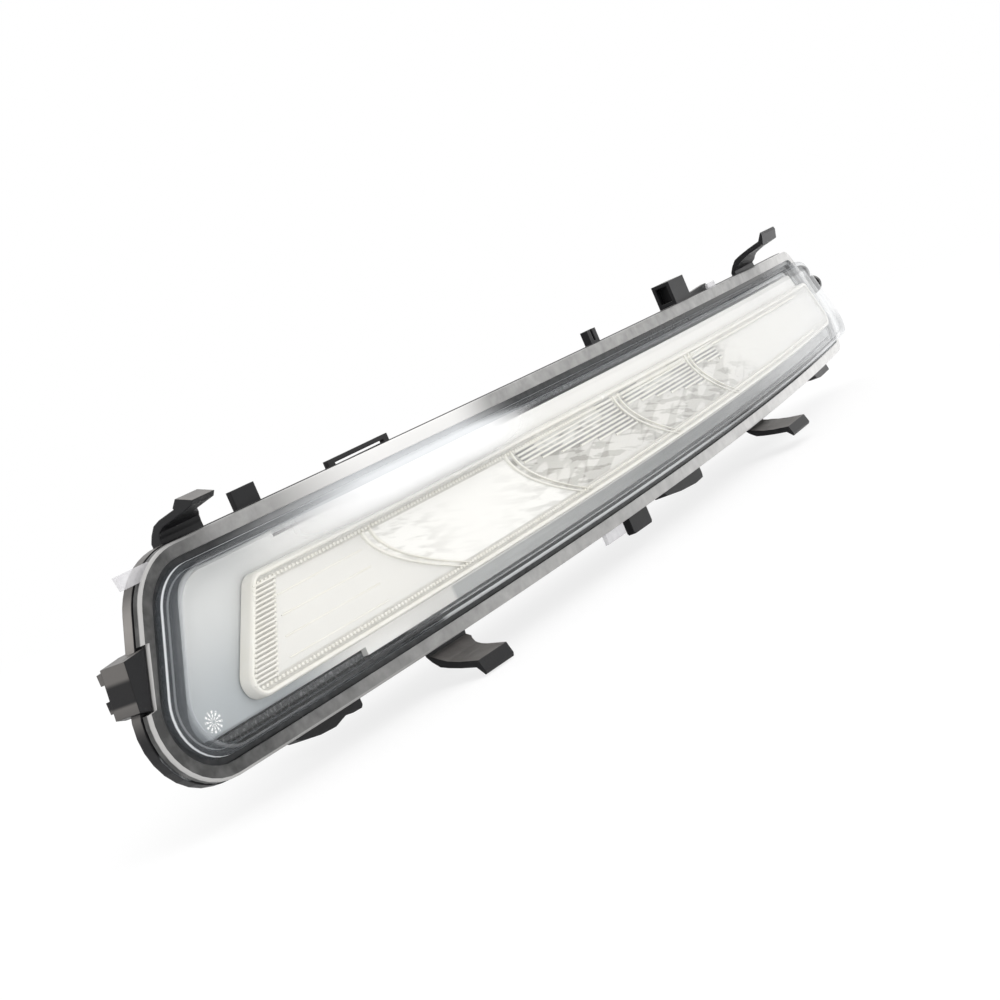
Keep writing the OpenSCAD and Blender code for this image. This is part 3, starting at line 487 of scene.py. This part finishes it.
class RUNNINGLIGHT_OT_stage(bpy.types.Operator):
    """Camera, floor, light and world"""

    bl_idname = "runninglight.stage"
    bl_label = "Stage"

    def execute(self, context):
        settings = context.scene.lamp_stage
        self.camera(context, settings.focal)
        self.floor(context, cad_box[0][2] - settings.floor_drop)
        self.studio(context, settings.sky)
        self.softbox(context, settings.key)
        context.scene.view_settings.view_transform = "Standard"
        return {"FINISHED"}

    @staticmethod
    def camera(context, focal):
        """The photograph's view, rolled about its own line of sight."""
        level_right = (-EYE_BACK).cross(Vector((0, 0, 1))).normalized()
        level_up = level_right.cross(-EYE_BACK)
        right = level_right * math.cos(EYE_ROLL) + level_up * math.sin(EYE_ROLL)
        up = level_up * math.cos(EYE_ROLL) - level_right * math.sin(EYE_ROLL)
        data = bpy.data.cameras.new("camera")
        data.lens = focal
        data.sensor_width = 36.0
        data.sensor_fit = "HORIZONTAL"
        data.clip_start = 0.01
        camera = bpy.data.objects.new("camera", data)
        turned = Matrix((right, up, EYE_BACK)).transposed().to_4x4()
        camera.matrix_world = Matrix.Translation(EYE) @ turned
        context.scene.collection.objects.link(camera)
        context.scene.camera = camera

    @staticmethod
    def floor(context, height):
        """Pale floor that keeps the lamp's shadow and fades to white around it."""
        bm = bmesh.new()
        bmesh.ops.create_grid(bm, x_segments=1, y_segments=1, size=FLOOR_HALF)
        bmesh.ops.translate(bm, verts=bm.verts, vec=(0, 0, height))
        mesh = bpy.data.meshes.new("floor")
        bm.to_mesh(mesh)
        bm.free()
        floor = bpy.data.objects.new("floor", mesh)
        context.scene.collection.objects.link(floor)
        paint = Paint("pale floor")
        seen = Field(paint, paint.node("ShaderNodeLightPath").outputs["Is Camera Ray"])
        reach = (paint.x * paint.x + paint.y * paint.y).sqrt()
        white = paint.node("ShaderNodeEmission", None, {"Color": (1, 1, 1, 1), "Strength": 1.0}).outputs[0]
        matt = paint.surface(Base_Color=(0.9, 0.9, 0.9, 1), Roughness=0.9)
        fade = seen * (0.8 + reach.ramp(0.2, 0.8) * 0.2)
        mesh.materials.append(paint.finish(paint.mixed(fade, matt, white)))

    @staticmethod
    def studio(context, strength):
        """Even sky, brighter from above, which shows as plain white to the eye and through the lens."""
        world = bpy.data.worlds.new("studio")
        paint = Paint("studio", world)
        rays = paint.node("ShaderNodeLightPath")
        direct = Field(paint, rays.outputs["Is Camera Ray"])
        seen = direct.high(Field(paint, rays.outputs["Is Transmission Ray"]))
        light = strength * (0.5 + paint.z.ramp(-0.3, 0.7) * 0.75)
        values = {"Color": (1, 1, 1, 1), "Strength": seen.high(light)}
        sky = paint.node("ShaderNodeBackground", None, values)
        context.scene.world = paint.finish(sky.outputs[0])

    @staticmethod
    def softbox(context, power):
        """One large soft light above and in front, aimed at the lamp's middle."""
        data = bpy.data.lights.new("key", "AREA")
        data.shape = "SQUARE"
        data.size = SOFTBOX_SIZE
        data.energy = power
        light = bpy.data.objects.new("key", data)
        turned = (-SOFTBOX_PLACE).to_track_quat("-Z", "Y").to_matrix().to_4x4()
        light.matrix_world = Matrix.Translation(SOFTBOX_PLACE) @ turned
        context.scene.collection.objects.link(light)


class RUNNINGLIGHT_OT_housing(bpy.types.Operator):
    """Black moulded plastic of the housing, cover and cap"""

    bl_idname = "runninglight.housing"
    bl_label = "Housing"

    def execute(self, context):
        paint = Paint("moulded black")
        grain = paint.noise(0.0006, 2)
        patch = paint.noise(0.018, 4)
        black = tuple(context.scene.lamp_colours.housing)
        # Black with a painted sheen in grey, painted shade in the bracket's recess and a faint mottle
        plain = paint.blend(self.sheen_shade_and_mottle(paint, patch), black, (0.26, 0.245, 0.232))
        shader = paint.surface(
            Base_Color=paint.blend(self.inside(paint), plain, self.lit(paint)),
            Roughness=0.3 + patch * 0.16,
            IOR=1.32,
            Normal=paint.bump(grain, 0.00004, 0.5, self.soft_edges(paint)),
        )
        dress(paint.finish(shader), "housing", "rear_cover", "vent_cap")
        return {"FINISHED"}

    @staticmethod
    def sheen_shade_and_mottle(paint, patch):
        """Painted sheen: grey on the upper faces and the left end, for light falling from above and glancing
        off the left side; painted shade darkens the recess in the bracket there, and a faint random mottle is
        added.
        """
        streak = paint.noise(0.004, 3, vector=paint.stretched(1, 1, 0.2))
        side, _, up = paint.normal()
        # Painted sheen on the upper faces
        top = up.ramp(0.2, 0.9) * (0.35 + streak * 0.5) * paint.forward().ramp(-0.012, -0.004)
        # Painted reflection along the left side
        left_side = side.ramp(-0.6, -0.95) * paint.x.ramp(-0.222, -0.228) * paint.z.ramp(-0.01, 0.0)
        bracket = paint.x.ramp(-0.2295, -0.231) * paint.z.ramp(-0.0045, -0.004)
        # Painted shade in the recess of the bracket
        recess = paint.z.ramp(0.0042, 0.003) * paint.z.ramp(-0.0016, -0.0008) * bracket
        grey = top * 0.7 + left_side * (0.9 - bracket * 0.45) + patch.ramp(0.5, 0.9) * 0.04
        return grey * (1.0 - recess * 0.95)

    @staticmethod
    def lit(paint):
        """Painted light on the black walls behind the lens: silver along the bottom and at the right, slate
        elsewhere.
        """
        low = paint.z.ramp(0.004, -0.004)
        fine = paint.noise(0.0008, 3)
        brushed = paint.noise(0.0016, 3, vector=paint.stretched(0.06, 1, 1))
        # Where the painted light is brightest
        silver = low * paint.x.ramp(-0.15, -0.143) * (1.0 - paint.x.ramp(-0.03, 0.06) * 0.55)
        top_left = (1.0 - low) * paint.x.ramp(-0.21, -0.16) * paint.x.ramp(-0.075, -0.11)
        silver = silver.high(paint.x.ramp(0.1, 0.17)).high(top_left)
        tone = (silver * (0.6 + brushed * 0.6) + fine.ramp(0.45, 0.75) * 0.22 + 0.06).low(1.0)
        return paint.blend(tone, (0.03, 0.034, 0.038), (0.92, 0.93, 0.93))

    @staticmethod
    def inside(paint):
        """1 on the walls behind the lens, inside its groove, and 0 on all that faces away from the middle."""
        sides = (TOP, BOTTOM, LEFT, RIGHT)
        short = [(CORNER_REACH - paint.from_edge(side)).high(0.0) ** 2.0 for side in sides]
        depth = CORNER_REACH - (short[0] + short[1] + short[2] + short[3]).sqrt()
        across, rear, up = paint.normal()
        above = paint.z.ramp(-0.001, 0.001) * 2.0 - 1.0
        beyond = paint.x.ramp(-0.001, 0.001) * 2.0 - 1.0
        away = (up * above).high(across * beyond).high(rear)
        forward = paint.forward()
        shallow = forward.ramp(-0.0002, -0.0008) * forward.ramp(-0.008, -0.0065)
        return shallow * depth.ramp(0.0039, 0.0044) * away.ramp(0.6, 0.4)

    @staticmethod
    def soft_edges(paint):
        return paint.node("ShaderNodeBevel", {"samples": 4}, {"Radius": 0.0005}).outputs[0]


class RUNNINGLIGHT_OT_clear_lens(bpy.types.Operator):
    """Clear outer lens"""

    bl_idname = "runninglight.clear_lens"
    bl_label = "Clear lens"

    def execute(self, context):
        bm = bmesh.new()
        stepped_front(bm, CORNERS, [LENS_INSET] * 4, CORNER_RADII, (
            (0.0, -1.8, RIM), (0.02, -0.3, RIM), (0.1, -0.1, RIM), (0.3, 0.0, RIM), (0.6, 0.0, RIM),
            (3.2, 0.0, FLANGE), (3.32, -0.1, FLANGE), (3.38, -1.0, GROOVE), (4.73, -1.0, GROOVE),
            (4.8, 0.2, SHOULDER), (5.1, 2.4, SHOULDER), (5.6, 3.9, SHOULDER), (6.4, 4.82, SHOULDER),
            (7.6, 5.28, DOME), (9.2, 5.4, DOME),
        ))
        cut_along(bm)
        bmesh.ops.recalc_face_normals(bm, faces=bm.faces[:])
        bmesh.ops.solidify(bm, geom=bm.faces[:], thickness=LENS_WALL)
        self.notch(bm)
        self.tabs(bm)
        bend(bm)
        flange, rim = self.flange_face(0.0), self.flange_face(0.5)
        materials = [flange, self.groove(), self.dome(), self.gate(), self.shoulder(), rim]
        settle(bm, "clear_lens", materials, "outer_lens")
        return {"FINISHED"}

    @staticmethod
    def tabs(bm):
        """The three gate tabs on the rim: one below, one above and one that leans on the left."""
        for x0, x1, z0, z1 in ((-59.0, -47.6, -26.4, -20.5), (78.0, 85.0, 19.5, 24.0)):
            bar(bm, x0, x1, z0, z1, 0.3, LENS_WALL, 0.3, zone=GATE)
        bar(bm, -228.0, -218.5, 20.0, 23.2, 0.4, LENS_WALL, 0.3, warp=lambda z: (21.6 - z) * 0.2, zone=GATE)

    @staticmethod
    def notch(bm):
        """Steps the flange back around the bracket on the left end."""
        for z in (NOTCH_HIGH, NOTCH_HIGH - 0.15, NOTCH_LOW + 0.15, NOTCH_LOW):
            faces = [face for face in bm.faces if face.calc_center_median().x < -222.0]
            edges = list({edge for face in faces for edge in face.edges})
            verts = list({vert for face in faces for vert in face.verts})
            whole = verts + edges + faces
            bmesh.ops.bisect_plane(bm, geom=whole, plane_co=(0, 0, z), plane_no=(0, 0, 1), dist=0.0005)
        for vert in bm.verts:
            if NOTCH_LOW + 0.1 < vert.co.z < NOTCH_HIGH - 0.1 and vert.co.x < -224.0:
                from_rim = vert.co.x + 233.5 - 0.46 * vert.co.z
                share = 1.0 - min(max((from_rim - 0.35) / 2.6, 0.0), 1.0)
                vert.co.x += share * (1.45 + (NOTCH_HIGH - vert.co.z) * 0.06)

    @staticmethod
    def glare(paint):
        """Where a painted glare washes out a stretch of the top edge."""
        return paint.x.ramp(-0.205, -0.14) * paint.x.ramp(-0.072, -0.108) * paint.z.ramp(0.006, 0.012)

    def flange_face(self, rim):
        """Grey seen through the flange, paler to the right, with the painted glare near the top; rim is how
        far its outer edge lights up as a painted highlight.
        """
        paint = Paint("flange rim" if rim else "flange over sealant")
        patch = paint.noise(0.005, 3, 0.5, warp=0.3)
        fine = paint.noise(0.0016, 2)
        along = paint.x.ramp(-0.222, -0.19)
        low = 0.03 + along * 0.13 + paint.x.ramp(-0.19, -0.11) * 0.25 + paint.x.ramp(-0.09, 0.15) * 0.5
        high = 0.02 + along * 0.31 + paint.x.ramp(0.1, 0.2) * 0.42
        top = paint.z.ramp(0.004, 0.018)
        smudge = ((patch - 0.5) * 0.5 + (fine - 0.5) * 0.2) * (0.4 + low * 0.6)
        tone = (low * (1.0 - top) + high * top + smudge).high(0.0).low(1.0)
        if rim:
            # Painted highlight along the flange's outer edge
            edge = paint.x.ramp(-0.19, -0.22).high((1.0 - top) * 0.7) * paint.forward().ramp(-0.0009, -0.0005)
            tone = tone.high(rim * edge)
        # Painted glare near the top edge
        tone = tone.high(self.glare(paint) * 0.95)
        dark = tuple(c * 0.13 for c in bpy.context.scene.lamp_colours.flange)
        shader = paint.surface(
            Base_Color=paint.blend(tone, dark, (0.8, 0.79, 0.775)),
            Roughness=0.26 + fine * 0.14,
            IOR=1.45,
            Normal=paint.bump(fine, 0.00003, 0.3),
        )
        return paint.finish(shader)

    def groove(self):
        # Near black for the sealant and the shade seen through the groove, paler at the right end, with the
        # painted glare near the top
        paint = Paint("groove over sealant")
        fine = paint.noise(0.003, 3)
        pale = self.glare(paint).high(paint.x.ramp(0.13, 0.2) * 0.5)
        tone = (fine * 0.08 + pale).low(1.0)
        shade = paint.blend(tone, (0.006, 0.007, 0.008), (0.75, 0.76, 0.77))
        shader = paint.surface(Base_Color=shade, Roughness=0.2 + fine * 0.1, IOR=1.3)
        return paint.finish(shader)

    def dome(self):
        paint = Paint("clear polycarbonate")
        haze = paint.noise(0.02, 3)
        gloss = paint.surface(Base_Color=(0.9, 0.91, 0.92, 1), Metallic=1.0, Roughness=0.03 + haze * 0.02)
        thin = paint.node("ShaderNodeBsdfTransparent", None, {"Color": (0.996, 0.996, 0.994, 1)}).outputs[0]
        clear = paint.mixed(0.025 + paint.facing() ** 5.0 * 0.8, thin, gloss)
        # Painted glare: a pale opaque surface mixed in where the top edge washes out
        washed = paint.surface(Base_Color=(0.95, 0.95, 0.95, 1), Roughness=0.3)
        pale = self.glare(paint) * paint.z.ramp(0.008, 0.0155) * 0.85
        return paint.finish(paint.mixed(pale, clear, washed))

    def shoulder(self):
        """The curved flank of the dome: a slate tone, thin painted highlight lines low on the flank and along
        its crest, a painted streaky band of silver light along the bottom and the painted glare at the top.
        """
        paint = Paint("dome flank")
        rise = paint.forward()
        haze = paint.noise(0.01, 3, vector=paint.stretched(0.3, 1, 0.3))
        streak = paint.noise(0.0016, 3, vector=paint.stretched(0.05, 1, 1))
        # Painted highlight line low on the flank; the crest below gets one too
        line = rise.ramp(0.0003, 0.0006) * rise.ramp(0.0012, 0.0008)
        # Painted band of silver light along the bottom
        below = paint.z.ramp(-0.004, -0.012) * paint.x.ramp(-0.15, -0.143) * rise.ramp(0.0016, 0.003)
        below = below * (1.0 - paint.x.ramp(-0.03, 0.06) * 0.3)
        # Painted glare at the top
        washed = self.glare(paint)
        crest = rise.ramp(0.0040, 0.0045) * 0.5
        tone = (line + crest + haze * 0.2 + below * (0.4 + streak * 0.55) + washed).low(1.0)
        slate = paint.blend(tone, (0.03, 0.037, 0.045), (0.8, 0.82, 0.84))
        gloss = paint.surface(Base_Color=slate, Roughness=0.12 + haze * 0.1, IOR=1.35)
        thin = paint.node("ShaderNodeBsdfTransparent", None, {"Color": (0.98, 0.985, 0.99, 1)}).outputs[0]
        left = paint.x.ramp(-0.17, -0.21)
        at_left = left * (0.5 - rise.ramp(0.0015, 0.0045) * 0.3)
        solid = 0.06 + at_left + line * (0.3 + left * 0.1) + below * 0.62
        solid = solid.high(washed * 0.75)
        return paint.finish(paint.mixed((solid + paint.facing() ** 5.0 * 0.4).low(1.0), thin, gloss))

    @staticmethod
    def gate():
        paint = Paint("frosted gate tab")
        haze = paint.noise(0.003, 3)
        tone = paint.blend(haze, (0.58, 0.57, 0.58), (0.74, 0.73, 0.74))
        milky = paint.surface(Base_Color=tone, Roughness=0.3)
        thin = paint.node("ShaderNodeBsdfTransparent", None, {"Color": (0.97, 0.97, 0.98, 1)}).outputs[0]
        return paint.finish(paint.mixed(0.35 + haze * 0.2, thin, milky))


class RUNNINGLIGHT_OT_seals(bpy.types.Operator):
    """Sealing beads, leads and rubber"""

    bl_idname = "runninglight.seals"
    bl_label = "Seals and leads"

    def execute(self, context):
        paint = Paint("black sealant")
        waves = paint.noise(0.003, 3)
        shader = paint.surface(
            Base_Color=paint.blend(waves, (0.008, 0.008, 0.009), (0.03, 0.03, 0.032)),
            Roughness=0.35 + waves * 0.3,
            Normal=paint.bump(waves, 0.0002, 0.6),
        )
        dress(paint.finish(shader), "seal_bead", "rear_cover_seal", "supply_lead")
        return {"FINISHED"}


class RUNNINGLIGHT_OT_mask(bpy.types.Operator):
    """Silver mask"""

    bl_idname = "runninglight.mask"
    bl_label = "Mask"

    def execute(self, context):
        paint = Paint("silver lacquer")
        flake = paint.noise(0.0004, 1)
        haze = paint.noise(0.03, 3)
        smear = paint.near(-210.0, 18.6, 6.0).ramp(0.1, 0.5) * paint.z.ramp(0.0166, 0.0172) * 0.35
        # Painted shade darkening the left end of the mask, more towards the bottom
        painted_shade_left_end = paint.x.ramp(-0.165, -0.2) * (0.5 + paint.z.ramp(0.012, -0.012) * 0.5)
        silver = tuple(context.scene.lamp_colours.mask)
        base = paint.blend((painted_shade_left_end + haze * 0.1 - 0.05).high(0.0), silver, (0.4, 0.43, 0.45))
        base = paint.blend(smear, base, (0.42, 0.4, 0.36))
        # The mask's foot, with painted shade towards the right
        foot = paint.from_edge(BOTTOM).ramp(0.0108, 0.0102) * paint.x.ramp(-0.1315, -0.1295)
        base = paint.blend(foot, base, self.slate(paint))
        shader = paint.surface(
            Base_Color=paint.blend(self.starburst(paint), base, (0.98, 0.98, 0.98)),
            Metallic=0.25,
            Roughness=0.34 + haze * 0.1,
            Normal=paint.bump(flake, 0.00001, 0.3),
        )
        dress(paint.finish(shader), "bezel")
        return {"FINISHED"}

    @staticmethod
    def starburst(paint):
        """The dashed spokes of the small ornament, from 0 to 1."""
        across = paint.x - BURST_X * MM
        height = paint.z - BURST_Z * MM
        turn = height.math("ARCTAN2", across) * (BURST_SPOKES / (2.0 * math.pi))
        far = (across * across + height * height).sqrt()
        dash = (far * 1100.0 + (turn * 0.5).fract()).fract().ramp(0.1, 0.3)
        spokes = abs(turn.fract() - 0.5).ramp(0.3, 0.16) * dash
        return spokes * far.ramp(0.0026, 0.0022) * far.ramp(0.0002, 0.0005)

    @staticmethod
    def slate(paint):
        """Streaky tone of the mask's foot, silver on the left and darkened to slate by painted shade towards
        the right.
        """
        streak = paint.noise(0.0014, 3, vector=paint.stretched(0.04, 1, 1))
        dusk = paint.x.ramp(-0.12, 0.04) * 0.75 - paint.x.ramp(0.08, 0.15) * 0.6
        tone = (dusk + (streak - 0.5) * 0.5).high(0.0).low(1.0)
        return paint.blend(tone, (0.52, 0.53, 0.53), (0.12, 0.125, 0.13))


class RUNNINGLIGHT_OT_optics(bpy.types.Operator):
    """Optic strip and reflector"""

    bl_idname = "runninglight.optics"
    bl_label = "Optics"

    def execute(self, context):
        bm = bmesh.new()
        stepped_front(bm, STRIP_CORNERS, STRIP_INSETS, [4.2, 3.4, 3.4, 4.2], (
            (0.0, -1.5, PLAIN), (0.03, 0.8, PLAIN), (0.2, 1.3, PLAIN), (0.55, 1.6, PLAIN), (1.0, 1.6, PLAIN),
            (1.3, 1.3, PLAIN), (1.45, 1.0, CHANNEL), (3.3, 1.0, CHANNEL), (3.5, 1.0, CLEAR),
        ))
        bmesh.ops.holes_fill(bm, edges=[edge for edge in bm.edges if edge.is_boundary], sides=0)
        cut_along(bm)
        self.prisms(bm)
        for cell in range(4):
            for shift, width in ((0.0, 1.0), (3.2, 0.8)):
                start = CELL_EDGES[cell] + shift
                bar(bm, start, start + width, RIB_LOW, RIB_TOP, -1.6, -0.7, 0.22, cuts=18, warp=self.lean)
            if cell:
                self.flutes(bm, cell)
        for k in range(4):
            z = 4.6 - 4.4 * k
            bar(bm, -190.5 - 1.4 * k, -159.5 + 0.6 * k, z, z + 0.35, -1.2, -0.7, 0.12)
        self.borders(bm)
        bend(bm)
        materials = [self.milky(), self.window(), self.shade(), self.channel()]
        settle(bm, "optic_strip", materials, "inner_lens")
        dress(self.film(), "reflector")
        return {"FINISHED"}

    def prisms(self, bm):
        """The column of level prism bars, a grey bar of painted shade in the gap above each, and a row of
        beads at either end.
        """
        for k in range(PRISM_COUNT):
            z = PRISM_TOP - PRISM_PITCH * (k + 0.8)
            x = PRISM_X + PRISM_SLANT * z
            bar(bm, x, x + PRISM_LENGTH, z, z + 0.48, -1.65, -0.6, 0.14)
            # Painted shade: a grey bar in the gap above each prism bar
            bar(bm, x, x + PRISM_LENGTH, z + 0.55, z + 0.87, -1.15, -0.6, zone=CHANNEL)
        step = (-PRISM_PITCH * PRISM_SLANT, 0, -PRISM_PITCH)
        for x in (-196.4, -189.4):
            self.beads(bm, PRISM_COUNT, 0.46, (x, -1.35, 8.7), step)

    @staticmethod
    def lean(z):
        """Push to the right of the curved ribs between two cells at height z."""
        share = min(max((z - RIB_LOW) / (RIB_TOP - RIB_LOW), 0.0), 1.0)
        return RIB_LEAN * (1.0 - share) ** RIB_POWER

    def flutes(self, bm, cell):
        """Bright level ridges and the shadow above each; low in the cell they start further to the right."""
        for k in range(FLUTE_COUNT):
            z = RIB_TOP - FLUTE_PITCH * (k + 0.75)
            start = CELL_EDGES[cell] + max(self.lean(z) + 5.5, 8.0 + (3.7 - z) * 9.0)
            end = CELL_EDGES[cell + 1] + self.lean(z) - 1.5
            if end > start + 2:
                bar(bm, start, end, z, z + FLUTE_PITCH * 0.5, -1.5, -0.7, 0.2)
                bar(bm, start, end, z + FLUTE_PITCH * 0.6, z + FLUTE_PITCH * 0.85, -1.2, -0.7, zone=SHADE)

    @staticmethod
    def beads(bm, count, radius, start, step):
        """A row of beads from start, each a step from the last, made by doubling the row until it is long."""
        part = bmesh.new()
        first = Matrix.Translation(start)
        bmesh.ops.create_uvsphere(part, u_segments=6, v_segments=4, radius=radius, matrix=first)
        done = 1
        while done < count:
            grown = min(done, count - done)
            faces = part.faces[: grown * 24]
            copy = bmesh.ops.duplicate(part, geom=faces)["geom"]
            verts = [item for item in copy if isinstance(item, bmesh.types.BMVert)]
            bmesh.ops.translate(part, verts=verts, vec=Vector(step) * done)
            done += grown
        absorb(bm, part)

    def borders(self, bm):
        """A row of beads just inside the raised border along the top, and one along the bottom."""
        for side, start, count in ((TOP, -196.0, 268), (BOTTOM, -205.5, 280)):
            left, right = sorted((CORNERS[side], CORNERS[side + 1]), key=lambda corner: corner.x)
            inward = STRIP_INSETS[side] + BEAD_INSET
            slope = (right.y - left.y) / (right.x - left.x)
            z = left.y + slope * (start - left.x) + (inward if side == BOTTOM else -inward)
            self.beads(bm, count, BEAD_RADIUS, (start, -1.15, z), (BEAD_PITCH, 0, BEAD_PITCH * slope))

    @staticmethod
    def milky():
        paint = Paint("milky optic border")
        haze = paint.noise(0.006, 3)
        tone = tuple(bpy.context.scene.lamp_colours.optic)
        shade = (tone[0] * 0.93, tone[1] * 0.91, tone[2] * 0.84)
        cream = paint.blend(haze, shade, tone)
        shader = paint.surface(Base_Color=cream, Roughness=0.2 + haze * 0.1, IOR=1.49)
        thin = paint.node("ShaderNodeBsdfTransparent", None, {"Color": (0.98, 0.97, 0.94, 1)}).outputs[0]
        return paint.finish(paint.mixed(0.88, thin, shader))

    @staticmethod
    def shade():
        paint = Paint("shadow between flutes")
        haze = paint.noise(0.004, 3, vector=paint.stretched(0.2, 1, 1))
        tone = paint.blend(haze, (0.16, 0.16, 0.155), (0.4, 0.4, 0.39))
        return paint.finish(paint.surface(Base_Color=tone, Roughness=0.25))

    @staticmethod
    def channel():
        # Grey for the recessed channel beside the beads, and for the painted shade in the gaps between the
        # prism bars
        paint = Paint("greyish channel beside the beads")
        haze = paint.noise(0.003, 3)
        tone = paint.blend(haze, (0.46, 0.45, 0.42), (0.66, 0.65, 0.61))
        return paint.finish(paint.surface(Base_Color=tone, Roughness=0.3))

    @staticmethod
    def window():
        """Flat faces of the strip: a plain field on the left, a cell painted whiter and more opaque for a
        glare, bowls with painted streaky reflections of the reflector's facets, and a plain end.
        """
        paint = Paint("clear optic face")
        haze = paint.noise(0.012, 3)
        rise = (paint.z - RIB_LOW * MM) / ((RIB_TOP - RIB_LOW) * MM)
        drop = (1.0 - rise.high(0.0).low(1.0)) ** RIB_POWER
        along = paint.x - drop * RIB_LEAN * MM
        bowl = along.ramp(-0.094, -0.091) * along.ramp(0.075, 0.045)
        ripple = paint.noise(0.0016, 3, 0.5, paint.stretched(0.12, 1, 1, -0.2), warp=0.3)
        facet = paint.cells(0.0038, paint.stretched(0.22, 1, 1, 0.35))
        # Painted reflections of the reflector's facets in the bowls
        streak = (ripple.ramp(0.5, 0.56) * 0.55 + facet.ramp(0.5, 0.62) * 0.45) * bowl
        # The cell painted white for a glare
        painted_glare_cell = along.ramp(-0.159, -0.156) * along.ramp(-0.091, -0.094)
        # Faint painted streaks at the edge of the glare, none at its middle
        rim = ripple.ramp(0.45, 0.65) * (1.0 - paint.near(-112.0, 4.0, 30.0) ** 0.5) * painted_glare_cell * 0.4
        tone = tuple(bpy.context.scene.lamp_colours.optic)
        warm = paint.blend(streak.high(rim), tone, (0.4, 0.39, 0.36))
        waves = paint.bump(ripple * bowl, 0.0004, 0.5)
        gloss = paint.surface(Base_Color=warm, Roughness=0.16 + haze * 0.1, IOR=1.49, Normal=waves)
        thin = paint.node("ShaderNodeBsdfTransparent", None, {"Color": (0.985, 0.98, 0.965, 1)}).outputs[0]
        # The painted glare cell is more opaque, so it shows whiter
        return paint.finish(paint.mixed(0.72 + painted_glare_cell * 0.2 - bowl * 0.1, thin, gloss))

    @staticmethod
    def film():
        paint = Paint("bright metal film")
        haze = paint.noise(0.02, 3)
        tone = paint.blend(haze, (0.84, 0.84, 0.83), (0.93, 0.93, 0.92))
        return paint.finish(paint.surface(Base_Color=tone, Metallic=0.7, Roughness=0.2 + haze * 0.1))


class RUNNINGLIGHT_OT_electronics(bpy.types.Operator):
    """Boards, emitters, heat sink and pins"""

    bl_idname = "runninglight.electronics"
    bl_label = "Electronics"

    def execute(self, context):
        screws = ("reflector_screws", "board_screws", "heat_sink_screws", "driver_screws", "cover_screws")
        finishes = (
            ("solder mask", (0.03, 0.2, 0.1), 0.0, 0.35, ("led_board", "driver_board")),
            ("emitter package", (0.9, 0.86, 0.6), 0.0, 0.4, ("led_1", "led_2", "led_3", "led_4")),
            ("mill finish sheet", (0.62, 0.63, 0.65), 1.0, 0.38, ("heat_sink", "driver_capacitor")),
            ("zinc plate", (0.6, 0.61, 0.63), 1.0, 0.32, (*screws, "lug_sleeve")),
            ("soft pad", (0.3, 0.34, 0.4), 0.0, 0.8, ("thermal_pad",)),
            ("moulded epoxy", (0.02, 0.02, 0.02), 0.0, 0.5, ("driver_chip", "driver_coil")),
            ("amber film", (0.5, 0.24, 0.05), 0.0, 0.3, ("flex_lead",)),
            ("tinned brass", (0.75, 0.7, 0.58), 1.0, 0.3, ("connector_pins",)),
        )
        for name, colour, metal, rough, nodes in finishes:
            paint = Paint(name)
            mottle = paint.noise(0.004, 3)
            tone = paint.blend(mottle, tuple(c * 0.75 for c in colour), colour)
            shader = paint.surface(Base_Color=tone, Metallic=metal, Roughness=rough + mottle * 0.12)
            dress(paint.finish(shader), *nodes)
        return {"FINISHED"}


class RUNNINGLIGHT_PT_panel(bpy.types.Panel):
    """Sidebar list of the lamp's pieces"""

    bl_label = "Running light"
    bl_space_type = "VIEW_3D"
    bl_region_type = "UI"
    bl_category = "Running light"

    def draw(self, context):
        layout = self.layout
        for group in (context.scene.lamp_colours, context.scene.lamp_stage):
            for key in group.__annotations__:
                layout.prop(group, key)
        for operator in PIECES:
            layout.operator(operator.bl_idname)


PIECES = (
    RUNNINGLIGHT_OT_stage,
    RUNNINGLIGHT_OT_housing,
    RUNNINGLIGHT_OT_clear_lens,
    RUNNINGLIGHT_OT_seals,
    RUNNINGLIGHT_OT_mask,
    RUNNINGLIGHT_OT_optics,
    RUNNINGLIGHT_OT_electronics,
)
CLASSES = (LampColours, StageSettings, *PIECES, RUNNINGLIGHT_PT_panel)


def register():
    for item in CLASSES:
        bpy.utils.register_class(item)
    bpy.types.Scene.lamp_colours = bpy.props.PointerProperty(type=LampColours)
    bpy.types.Scene.lamp_stage = bpy.props.PointerProperty(type=StageSettings)


def unregister():
    del bpy.types.Scene.lamp_stage
    del bpy.types.Scene.lamp_colours
    for item in reversed(CLASSES):
        bpy.utils.unregister_class(item)


def main():
    register()
    for operator in PIECES:
        group, name = operator.bl_idname.split(".")
        getattr(getattr(bpy.ops, group), name)()


if __name__ == "__main__":
    main()
